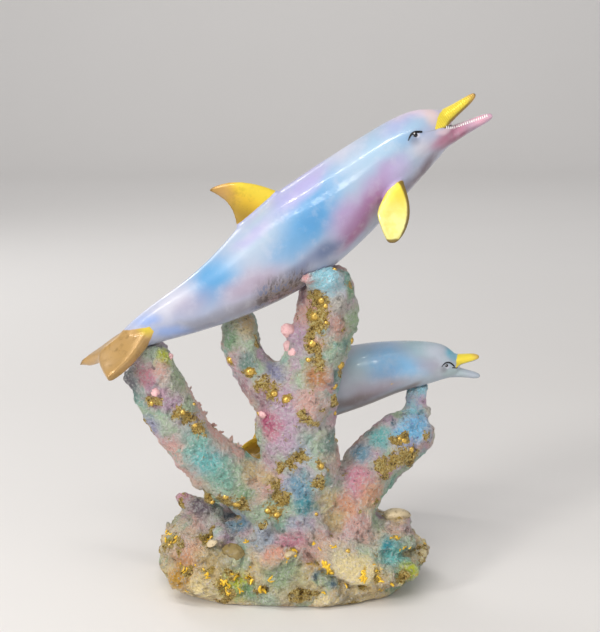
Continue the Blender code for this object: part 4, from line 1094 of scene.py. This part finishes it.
def leaf_mask(paint, surface, place, spot, crust, flake, on_rock):
    """1 under the gold leaf, which lies in ragged runs on the high grains."""
    leaf = paint.most(*(paint.ball(spot, centre / MM, reach * LEAF_SPREAD, 0.1)
                        for centre, _, reach in found(surface, GOLD_PATCHES)))
    loose = paint.ease(paint.noise(place, 14.0) + 0.05 * on_rock, 0.60, 0.72)
    leaf = paint.most(leaf, 0.75 * loose)
    drift = paint.noise(place, 5.0, 3.0, 0.6)
    ragged = 1.9 * (flake - 0.5) + 1.1 * (drift - 0.5) + 0.25 * (crust - CRUST_MIDDLE)
    return paint.above(leaf + ragged, 0.44, 0.10)


def leaf_colour(paint, place, crust):
    """Gold leaf in tones scattered by a fine noise and the crust's height: bronze for wear and painted
    shade low down, pale for painted highlights up high.
    """
    shine = paint.noise(place, 1.0, 2.0, 0.8) + 0.3 * (crust - CRUST_MIDDLE)
    gold = paint.mix("leaf_bronze_and_shade", "leaf_gold", paint.ease(shine, 0.32, 0.48))
    return paint.mix(gold, "leaf_highlight", paint.ease(shine, 0.52, 0.66))


def coral_paint(surface, name, worn_edges):
    """Pastel washes over grainy coral, gold leaf in bands, dark wash with painted shade in the hollows and
    dry brush with painted highlights on the tips.
    """
    paint = Paint(name)
    place = paint.place()
    spot = paint.stray(paint.stray(place, 9.0, 4.5), 2.4, 2.4)
    _, _, height = paint.split(place)
    on_rock = paint.ease(height, ROCK_PAINT_TOP, ROCK_PAINT_FULL)
    wash = 1.0 - ROCK_RELIEF * on_rock
    crust = coral_crust(paint, place)
    flake = paint.noise(place, 1.5, 3.0, 0.8)
    leaf = leaf_mask(paint, surface, place, spot, crust, flake, on_rock)
    colour = paint.node("ShaderNodeHueSaturation", {
        "Color": coral_pastels(paint, surface, place, spot, on_rock), "Saturation": PASTEL_DEPTH,
        "Value": PASTEL_LIGHT})
    # Dark wash with painted shade in the hollows, light dry brush with painted highlights on the tips
    colour = paint.mix(colour, "crevice", HOLLOW_WASH_AND_SHADE * paint.ease(crust, HOLLOWS, HOLLOWS - 0.55) * wash)
    colour = paint.mix(colour, WHITE, TIP_BRUSH_AND_HIGHLIGHT * paint.ease(crust, TIPS, TIPS + 0.5))
    colour = paint.mix(colour, leaf_colour(paint, place, crust), leaf)
    if worn_edges:
        # Painted shade in the mesh's pits and painted highlights on its edges, found by curvature, beside
        # the dark wash and dry brush
        bend = paint.node("ShaderNodeNewGeometry", {}, "Pointiness")
        colour = paint.mix(colour, "crevice", PIT_WASH_AND_SHADE * paint.ease(bend, 0.48, 0.40) * wash)
        colour = paint.mix(colour, "silver", EDGE_BRUSH_AND_HIGHLIGHT * paint.ease(bend, 0.53, 0.60) * (1.0 - leaf))
        for centre, _, reach in found(surface, LEDGE_GOLD):
            colour = paint.mix(colour, "gilt", 0.85 * paint.ball(spot, centre / MM, reach, 0.3))
    normal = paint.bump(crust + 0.5 * leaf * flake, CRUST_DEPTH)
    return paint.finish(Base_Color=colour, Metallic=0.3 * leaf, Roughness=0.42 - 0.12 * leaf,
                        Normal=normal, Specular_IOR_Level=1.0)


def gloss_paint(name):
    """A plain lacquer with a little uneven wear."""
    shade, roughness, metallic, wear, size, worn_shade = LACQUERS[name]
    paint = Paint(name)
    cloud = paint.noise(paint.place(), size, 3.0, 0.6)
    colour = paint.mix(shade, worn_shade, wear * paint.ease(cloud, 0.5, 0.75))
    return paint.finish(Base_Color=colour, Roughness=roughness + 0.1 * cloud, Metallic=metallic,
                        Normal=paint.bump(cloud, 0.15, 0.5))


class FIGURINE_OT_large_dolphin(Operator):
    """Casts and paints the leaping dolphin's skin"""
    bl_idname = "figurine.large_dolphin"
    bl_label = "Large Dolphin"

    def execute(self, context):
        skin = dolphin_skin("large_dolphin", sizes().large_cell)
        material = pearl_paint("pearl_large", "pearl_base", LARGE_PATCHES, LARGE_PLANE, large_details)
        finish_piece(skin, "large_dolphin_skin", material, "pearl_gloss", "large_dolphin")
        return {"FINISHED"}


class FIGURINE_OT_small_dolphin(Operator):
    """Casts and paints the swimming dolphin's skin"""
    bl_idname = "figurine.small_dolphin"
    bl_label = "Small Dolphin"

    def execute(self, context):
        skin = dolphin_skin("small_dolphin", sizes().small_cell)
        material = pearl_paint("pearl_small", "small_base", SMALL_PATCHES, SMALL_PLANE, small_details)
        finish_piece(skin, "small_dolphin_skin", material, "pearl_gloss_small", "small_dolphin")
        return {"FINISHED"}


def drape(surface, plane, rows, side, lift_off):
    """The places of a drawn line, each given by along and height, laid on a dolphin's flank."""
    spots = []
    for along, height in rows:
        far = dolphin_point(plane, along, OFF_SIDE * side, height)
        inner = dolphin_point(plane, along, 0.0, height)
        spot, normal, _, _ = surface.ray_cast(far, (inner - far).normalized())
        if spot is None:
            raise RuntimeError("a line drawn on a dolphin misses it")
        spots.append(spot + normal * lift_off)
    return spots


def lid_tube(spots, thick, radius):
    """A tapered round line through the places."""
    bpy.ops.curve.primitive_nurbs_path_add()
    path = bpy.context.active_object
    curve = path.data
    curve.splines.clear()
    spline = curve.splines.new("NURBS")
    spline.points.add(len(spots) - 1)
    for point, spot, share in zip(spline.points, spots, thick):
        point.co = (*spot, 1.0)
        point.radius = share
    spline.use_endpoint_u = True
    spline.order_u = 3
    spline.resolution_u = 6
    curve.dimensions = "3D"
    curve.bevel_depth = radius
    curve.bevel_resolution = 3
    curve.use_fill_caps = True
    pick_only(path)
    bpy.ops.object.convert(target="MESH")
    return bpy.context.active_object


def eyeball(surface, plane, point, side, radius, lift_off):
    """A flattened ball set on a dolphin's flank."""
    spot, = drape(surface, plane, (point,), side, lift_off)
    normal = surface.find_nearest(spot)[1]
    bpy.ops.mesh.primitive_uv_sphere_add(segments=24, ring_count=16, radius=1.0)
    ball = bpy.context.active_object
    flat = Matrix.Diagonal((radius, radius, radius * EYE_HEIGHT, 1.0))
    ball.matrix_world = stand_on(spot, normal) @ flat
    return ball


class FIGURINE_OT_eyes(Operator):
    """Draws the eyelids and sets the glossy eyes, on both sides of both heads"""
    bl_idname = "figurine.eyes"
    bl_label = "Eyes"

    def execute(self, context):
        parts = []
        glints = []
        for skin, plane, lid, pupil, glint, share in HEADS:
            surface = surface_of(skin)
            radius = sizes().eye_radius * share
            for side in BOTH_SIDES:
                spots = drape(surface, plane, lid, side, LID_LIFT * MM)
                parts.append(lid_tube(spots, LID_TAPER, sizes().lid_radius * share))
                parts.append(eyeball(surface, plane, pupil, side, radius, 0.0))
                glints.append(eyeball(surface, plane, glint, side, GLINT_SHARE * radius,
                                      GLINT_LIFT * radius))
        finish_piece(joined(glints), "eye_glints", gloss_paint("glint_white"), "pearl_gloss")
        finish_piece(joined(parts), "eyes", gloss_paint("eye_ink"), "pearl_gloss")
        return {"FINISHED"}


def tooth_line():
    """The places of one row's teeth, evenly spaced along the jaw."""
    (start, _), (part, _), (stop, _) = TOOTH_ROW
    row = []
    for i in range(TOOTH_COUNT):
        along = start + (stop - start) * i / (TOOTH_COUNT - 1)
        (from_s, from_z), (to_s, to_z) = TOOTH_ROW[:2] if along < part else TOOTH_ROW[1:]
        row.append((along, from_z + (to_z - from_z) * (along - from_s) / (to_s - from_s)))
    return row


class FIGURINE_OT_teeth(Operator):
    """Sets the small white teeth along both edges of the lower jaw"""
    bl_idname = "figurine.teeth"
    bl_label = "Teeth"

    def execute(self, context):
        surface = surface_of("large_dolphin_skin")
        tall = sizes().tooth_height
        bpy.ops.mesh.primitive_cone_add(vertices=8, radius1=0.42 * tall, radius2=0.16 * tall, depth=tall)
        tooth = bpy.context.active_object
        apply(tooth, "BEVEL", width=0.12 * tall, segments=1, limit_method="ANGLE")
        places = []
        for side in BOTH_SIDES:
            for spot in drape(surface, LARGE_PLANE, tooth_line(), side, -TOOTH_SINK * MM):
                places.append(stand_on(spot + UP * 0.3 * tall, UP))
        finish_piece(copies(tooth, places), "teeth", gloss_paint("tooth_white"), "pearl_gloss")
        return {"FINISHED"}


def weigh(skin, name, weight_of):
    """A vertex group whose weights come from each place, in millimetres."""
    group = skin.vertex_groups.new(name=name)
    for vertex in skin.data.vertices:
        weight = weight_of(*(vertex.co / MM))
        if weight > 0.0:
            group.add((vertex.index,), min(weight, 1.0), "REPLACE")
    return name


def relief(skin, name, kind, size, height, group="", middle=0.5, guide=None, **settings):
    """Raises the surface by a procedural texture, with features of the given size."""
    pattern = bpy.data.textures.new(name, kind)
    pattern.noise_scale = size * MM
    for key, value in settings.items():
        setattr(pattern, key, value)
    coords = {"texture_coords": "LOCAL"}
    if guide is not None:
        coords = {"texture_coords": "OBJECT", "texture_coords_object": guide}
    apply(skin, "DISPLACE", texture=pattern, strength=height, mid_level=middle, vertex_group=group,
          **coords)


def roughen(piece, name):
    """Makes a piece of repeated parts uneven, so that no two are alike."""
    size, height = WEAR[name]
    relief(piece, name, "CLOUDS", size, height * MM)


def rise(value, start, stop):
    """0 up to start and 1 from stop on, in a straight line between."""
    return min(max((value - start) / (stop - start), 0.0), 1.0)


def inside(outline, across, height):
    """How far a place lies inside a convex outline; negative outside it."""
    return min(((x1 - x0) * (height - z0) - (z1 - z0) * (across - x0)) / math.hypot(x1 - x0, z1 - z0)
               for (x0, z0), (x1, z1) in zip(outline, outline[1:] + outline[:1]))


def on_plate(x, y, z):
    """1 on the plate, 0 off it."""
    return rise(inside(PLATE, x, z), -0.4, 1.0) if y < FRONT else 0.0


def under_plate(x, y, z):
    """1 along the crack below the plate's lower left edges, 0 away from it."""
    if y > FRONT or z > PLATE[0][1] or x > CRACK_END:
        return 0.0
    gap = inside(PLATE, x, z)
    return min(rise(gap, -3.2, -1.6), rise(gap, 0.0, -0.8))


def on_crust(x, y, z):
    """1 all over the coral and rock, 0 at the flat underside."""
    return rise(z, SOLE, CRUST_FULL)


def on_stems(x, y, z):
    """1 on the stems, 0 on the rock."""
    return rise(z, ROCK_TOP, STEM_FOOT)


def on_bare_rock(x, y, z):
    """1 on the rock, little on the plate, 0 on the stems and at the underside."""
    return min(rise(z, SOLE, ROCK_FULL), rise(z, STEM_FOOT, ROCK_TOP), 1.0 - 0.9 * on_plate(x, y, z))


def on_grainy(x, y, z):
    """1 where the crust is coarse, less on the plate, 0 at the underside."""
    return min(rise(z, SOLE, CRUST_FULL), 1.0 - 0.75 * on_plate(x, y, z))


class FIGURINE_OT_coral(Operator):
    """Casts the coral and rock with its crust, and paints it"""
    bl_idname = "figurine.coral"
    bl_label = "Coral and Rock"

    def execute(self, context):
        size = sizes()
        skin = skin_of("coral_rock")
        apply(skin, "SUBSURF", levels=1, render_levels=1)
        apply(skin, "REMESH", mode="VOXEL", voxel_size=size.coral_cell)
        apply(skin, "SMOOTH", factor=0.5, iterations=2)
        crust = weigh(skin, "crust", on_crust)
        stems = weigh(skin, "stems", on_stems)
        rock = weigh(skin, "rock", on_bare_rock)
        grainy = weigh(skin, "grainy", on_grainy)
        plate = weigh(skin, "plate", on_plate)
        crack = weigh(skin, "crack", under_plate)
        relief(skin, "lumps", "CLOUDS", LUMP_SIZE, size.lump_height, crust, noise_depth=2)
        bpy.ops.object.empty_add(scale=STRATA)
        strata = context.active_object
        relief(skin, "ledges", "CLOUDS", LEDGE_SIZE, -size.ledge_height, rock, ROCK_LEVEL, strata,
               **RIDGES)
        relief(skin, "chips", "CLOUDS", CHIP_SIZE, -size.chip_height, rock, ROCK_LEVEL, strata,
               **RIDGES)
        bpy.data.objects.remove(strata, do_unlink=True)
        relief(skin, "folds", "CLOUDS", FOLD_SIZE, -size.fold_height, stems, FOLD_LEVEL, **RIDGES)
        relief(skin, "grains", "VORONOI", GRAIN_CELL, -size.grain_height, grainy, ROCK_LEVEL,
               noise_intensity=1.0)
        apply(skin, "DISPLACE", strength=size.plate_rise, mid_level=0.0, vertex_group=plate)
        apply(skin, "DISPLACE", strength=-size.crack_depth, mid_level=0.0, vertex_group=crack)
        skin.vertex_groups.clear()
        skin.name = "coral_skin"
        surface = surface_of(skin.name)
        coral_paint(surface, "coral_chips", False)
        material = coral_paint(surface, "coral_paint", True)
        finish_piece(skin, "coral_skin", material, "painted_coral", "coral_rock")
        return {"FINISHED"}


def scattered(count, radii, spacing, low, seed):
    """Seeded places all over the coral, not too close together: spot, normal, radius."""
    mesh = bpy.data.objects["coral_skin"].data
    chance = random.Random(seed)
    finds = []
    for _ in range(count * TRIES_PER_PIECE):
        face = mesh.polygons[chance.randrange(len(mesh.polygons))]
        spot = Vector(face.center)
        radius = chance.uniform(*radii)
        if spot.z < low * MM or face.normal.z < STEEPEST_DOWN:
            continue
        if all((spot - other).length > spacing * MM for other, _, _ in finds):
            finds.append((spot, Vector(face.normal), radius))
        if len(finds) == count:
            break
    return finds


def turned(finds, chance, sink=0.0):
    """Matrices for pieces at found places, each turned about its normal by chance and sunk
    in by a share of its radius."""
    return [stand_on(spot, normal, chance.uniform(0.0, math.tau), radius * MM, sink * radius * MM)
            for spot, normal, radius in finds]


def ring_model(profile, sides):
    """A turned shape: the profile's radius and height pairs, spun about +Z."""
    foot_radius, foot = profile[0]
    bpy.ops.mesh.primitive_circle_add(vertices=sides, radius=foot_radius, location=(0.0, 0.0, foot))
    made = bpy.context.active_object
    bpy.ops.object.mode_set(mode="EDIT")
    for (old, low), (new, high) in zip(profile, profile[1:]):
        bpy.ops.mesh.extrude_region_move(TRANSFORM_OT_translate={"value": (0.0, 0.0, high - low)})
        bpy.ops.transform.resize(value=(new / old, new / old, 1.0), center_override=(0.0, 0.0, high))
    bpy.ops.mesh.merge(type="CENTER")
    bpy.ops.mesh.select_all(action="SELECT")
    bpy.ops.mesh.normals_make_consistent(inside=False)
    bpy.ops.object.mode_set(mode="OBJECT")
    settle(made)
    return made


class FIGURINE_OT_barnacles(Operator):
    """Sets barnacle rings on the front where they show, and scatters more on every side"""
    bl_idname = "figurine.barnacles"
    bl_label = "Barnacles"

    def execute(self, context):
        surface = surface_of("coral_skin")
        chance = random.Random(SEEDS["barnacles"])
        finds = [*found(surface, BARNACLES), *scattered(**STREWN["barnacles"])]
        piece = copies(ring_model(RING_PROFILE, 10), turned(finds, chance, SINK["barnacles"]))
        roughen(piece, "barnacle_wear")
        finish_piece(piece, "barnacles", bpy.data.materials["coral_chips"], "painted_coral")
        return {"FINISHED"}


class FIGURINE_OT_beads(Operator):
    """Sets gilt beads on the gold bands and rosy knobs on the stems"""
    bl_idname = "figurine.beads"
    bl_label = "Beads and Knobs"

    def execute(self, context):
        surface = surface_of("coral_skin")
        chance = random.Random(SEEDS["beads"])
        sink = SINK["beads"]
        places = turned(found(surface, BEADS), chance, sink)
        for spot, normal, radius in scattered(**STREWN["beads"]):
            places.append(stand_on(spot, normal, 0.0, radius * MM, sink * radius * MM))
        piece = copies(ring_model(DOME_PROFILE, 10), places)
        roughen(piece, "bead_wear")
        finish_piece(piece, "gilt_beads", gloss_paint("bead_gilt"), "painted_coral")
        knob = ring_model(DOME_PROFILE, 12)
        apply(knob, "SUBSURF", levels=1, render_levels=1)
        piece = copies(knob, turned(found(surface, PINK_KNOBS), chance, SINK["knobs"]))
        roughen(piece, "knob_wear")
        finish_piece(piece, "rosy_knobs", gloss_paint("knob_rose"), "painted_coral")
        return {"FINISHED"}


class FIGURINE_OT_twigs(Operator):
    """Grows short coral twigs on the outer edges of the stems"""
    bl_idname = "figurine.twigs"
    bl_label = "Twigs"

    def execute(self, context):
        surface = surface_of("coral_skin")
        chance = random.Random(SEEDS["twigs"])
        bpy.ops.mesh.primitive_cone_add(vertices=7, radius1=0.8, radius2=0.3, depth=2.2,
                                        location=(0.0, 0.0, 0.6))
        twig = bpy.context.active_object
        apply(twig, "SUBSURF", levels=1, render_levels=1)
        places = []
        for across, height, radius in TWIGS:
            spot, normal, _, _ = surface.find_nearest(Vector((across * MM, PAINT_PLANE, height * MM)))
            for _ in range(TWIGS_PER_PLACE):
                sway = Vector([chance.uniform(-0.7, 0.7) for _ in range(3)])
                size = radius * chance.uniform(0.45, 0.8) * MM
                places.append(stand_on(spot, (normal + sway).normalized(), 0.0, size))
        piece = copies(twig, places)
        roughen(piece, "twig_wear")
        finish_piece(piece, "twigs", bpy.data.materials["coral_chips"], "painted_coral")
        return {"FINISHED"}


def crinkle_model():
    """A thin bent ridge, one unit in half length."""
    bpy.ops.mesh.primitive_uv_sphere_add(segments=8, ring_count=7, radius=1.0)
    crinkle = bpy.context.active_object
    crinkle.scale = (0.24, 0.34, 1.0)
    crinkle.rotation_euler = (0.0, math.radians(90.0), 0.0)
    settle(crinkle)
    apply(crinkle, "SIMPLE_DEFORM", deform_method="BEND", angle=math.radians(90.0), deform_axis="Z")
    return crinkle


class FIGURINE_OT_crinkles(Operator):
    """Lays crumpled gilt ridges over the rock"""
    bl_idname = "figurine.crinkles"
    bl_label = "Gilt Crinkles"

    def execute(self, context):
        surface = surface_of("coral_skin")
        chance = random.Random(SEEDS["crinkles"])
        crinkle = crinkle_model()
        places = []
        for across, height, radius in CRINKLES:
            for _ in range(CRINKLES_PER_PLACE):
                near = [value + chance.uniform(-CRINKLE_STRAY, CRINKLE_STRAY)
                        for value in (across, height)]
                spot, normal = seen(surface, *near)
                if spot is not None:
                    places += turned([(spot, normal, radius * chance.uniform(0.5, 0.9))], chance)
        strewn = [find for find in scattered(**STREWN["crinkles"]) if find[0].z < CRINKLE_TOP * MM]
        piece = copies(crinkle, places + turned(strewn, chance))
        roughen(piece, "crinkle_wear")
        finish_piece(piece, "gilt_crinkles", gloss_paint("crinkle_gilt"), "painted_coral")
        return {"FINISHED"}


def shell_model():
    """A ribbed scallop lying flat: hinge at -Y, rim at +Y, one unit in radius."""
    bpy.ops.mesh.primitive_uv_sphere_add(segments=SHELL_SEGMENTS, ring_count=12, radius=1.0)
    shell = bpy.context.active_object
    for vertex in shell.data.vertices:
        around = round(math.atan2(vertex.co.y, vertex.co.x) * SHELL_SEGMENTS / math.tau)
        if around % 2:
            out = 1.0 - SHELL_RIB * (1.0 + vertex.co.z)
            vertex.co.x *= out
            vertex.co.y *= out
    bpy.ops.object.mode_set(mode="EDIT")
    bpy.ops.mesh.select_all(action="SELECT")
    bpy.ops.mesh.bisect(plane_co=(0.0, 0.0, 0.25), plane_no=(0.0, 0.0, 1.0), clear_outer=True,
                        use_fill=True)
    bpy.ops.object.mode_set(mode="OBJECT")
    # The sphere's lower pole becomes the hinge
    shell.rotation_euler = (math.radians(-90.0), 0.0, 0.0)
    shell.scale = (1.0, 0.32, 1.0)
    settle(shell)
    return shell


class FIGURINE_OT_shells(Operator):
    """Sets ribbed scallop shells and the brown shell into the rock"""
    bl_idname = "figurine.shells"
    bl_label = "Shells"

    def execute(self, context):
        surface = surface_of("coral_skin")
        chance = random.Random(SEEDS["shells"])
        shell = shell_model()
        places = []
        for spot, normal, radius, turn in found(surface, SHELLS):
            lean = (normal + 2.0 * UP).normalized()
            places.append(stand_on(spot, lean, math.radians(turn), radius * MM))
        for spot, normal, radius in scattered(**STREWN["shells"]):
            if spot.z < SHELL_TOP * MM and spot.y > 0.0:
                lean = (normal + UP * 0.5).normalized()
                places.append(stand_on(spot, lean, chance.uniform(0.0, math.tau), radius * MM, 0.5 * MM))
        finish_piece(copies(shell, places), "shells", gloss_paint("shell_sand"), "painted_coral")
        snail = ring_model(DOME_PROFILE, 16)
        apply(snail, "SUBSURF", levels=2, render_levels=2)
        across, height, radius = SNAIL
        spot, normal = seen(surface, across, height)
        oval = Matrix.Diagonal((1.5, 1.0, 0.8, 1.0))
        snail.matrix_world = stand_on(spot, normal, 0.0, radius * MM) @ oval
        settle(snail)
        roughen(snail, "snail_wear")
        finish_piece(snail, "brown_shell", gloss_paint("shell_rind"), "painted_coral")
        return {"FINISHED"}


def area_light(name, at, aim, size, power, tint):
    """A rectangular lamp turned towards what it lights."""
    light = bpy.data.lights.new(name, "AREA")
    light.shape = "RECTANGLE"
    light.size, light.size_y = size
    light.energy = power
    light.color = tint
    lamp = bpy.data.objects.new(name, light)
    bpy.context.scene.collection.objects.link(lamp)
    lamp.location = at
    lamp.rotation_euler = (Vector(aim) - Vector(at)).to_track_quat("-Z", "Y").to_euler()


def studio_floor():
    """The pale floor, drawn up behind into a rounded backdrop."""
    bpy.ops.mesh.primitive_plane_add(size=FLOOR_SIZE, location=(0.0, 0.0, 0.0))
    floor = bpy.context.active_object
    bpy.ops.object.mode_set(mode="EDIT")
    bpy.ops.mesh.select_all(action="DESELECT")
    bpy.ops.object.mode_set(mode="OBJECT")
    for edge in floor.data.edges:
        edge.select = all(floor.data.vertices[i].co.y > 0.0 for i in edge.vertices)
    bpy.ops.object.mode_set(mode="EDIT")
    bpy.ops.mesh.extrude_region_move(TRANSFORM_OT_translate={"value": (0.0, 0.0, BACKDROP_HEIGHT)})
    bpy.ops.object.mode_set(mode="OBJECT")
    apply(floor, "BEVEL", width=BACKDROP_CURVE, segments=12, limit_method="ANGLE")
    pick_only(floor)
    bpy.ops.object.shade_smooth()
    floor.name = "floor"
    paint = Paint("floor_pale")
    cloud = paint.noise(paint.place(), 300.0)
    colour = paint.mix("floor", WHITE, 0.1 * cloud)
    floor.data.materials.append(paint.finish(Base_Color=colour, Roughness=0.6))


def studio_world(scene, strength):
    """The even light of the room around."""
    world = bpy.data.worlds.new("studio")
    scene.world = world
    world.use_nodes = True
    background = world.node_tree.nodes["Background"]
    background.inputs["Color"].default_value = SURROUND
    background.inputs["Strength"].default_value = strength
    scene.view_settings.view_transform = "Standard"


def studio_camera(scene):
    """The camera where the photograph was taken from."""
    lens = bpy.data.cameras.new("camera")
    lens.lens = LENS
    camera = bpy.data.objects.new("camera", lens)
    scene.collection.objects.link(camera)
    camera.location = EYE
    camera.rotation_euler = (AIM - EYE).to_track_quat("-Z", "Y").to_euler()
    scene.camera = camera


class FIGURINE_OT_stage(Operator):
    """Builds the pale floor and backdrop, the soft lights and the camera"""
    bl_idname = "figurine.stage"
    bl_label = "Stage"

    def execute(self, context):
        settings = context.scene.figurine_stage
        studio_floor()
        for name, at, aim, size, power, tint in LAMPS:
            area_light(name, at, aim, size, getattr(settings, power), tint)
        studio_world(context.scene, settings.sky_strength)
        studio_camera(context.scene)
        return {"FINISHED"}


STEPS = (
    FIGURINE_OT_stage, FIGURINE_OT_large_dolphin, FIGURINE_OT_small_dolphin, FIGURINE_OT_eyes,
    FIGURINE_OT_teeth, FIGURINE_OT_coral, FIGURINE_OT_barnacles, FIGURINE_OT_beads,
    FIGURINE_OT_twigs, FIGURINE_OT_crinkles, FIGURINE_OT_shells,
)


class FIGURINE_PT_panel(Panel):
    """Lists the steps that dress the figurine"""
    bl_idname = "FIGURINE_PT_panel"
    bl_label = "Dolphin Figurine"
    bl_space_type = "VIEW_3D"
    bl_region_type = "UI"
    bl_category = "Figurine"

    def draw(self, context):
        for step in STEPS:
            self.layout.operator(step.bl_idname)
        scene = context.scene
        for group in (scene.figurine_sizes, scene.figurine_stage, scene.figurine_colours):
            box = self.layout.box()
            for key in group.__annotations__:
                box.prop(group, key)


CLASSES = (FigurineSizes, FigurineColours, StageSettings, *STEPS, FIGURINE_PT_panel)


def register():
    for item in CLASSES:
        bpy.utils.register_class(item)
    bpy.types.Scene.figurine_sizes = PointerProperty(type=FigurineSizes)
    bpy.types.Scene.figurine_colours = PointerProperty(type=FigurineColours)
    bpy.types.Scene.figurine_stage = PointerProperty(type=StageSettings)


def unregister():
    del bpy.types.Scene.figurine_stage
    del bpy.types.Scene.figurine_colours
    del bpy.types.Scene.figurine_sizes
    for item in reversed(CLASSES):
        bpy.utils.unregister_class(item)


def main():
    register()
    for step in STEPS:
        group, name = step.bl_idname.split(".")
        getattr(getattr(bpy.ops, group), name)()


if __name__ == "__main__":
    main()
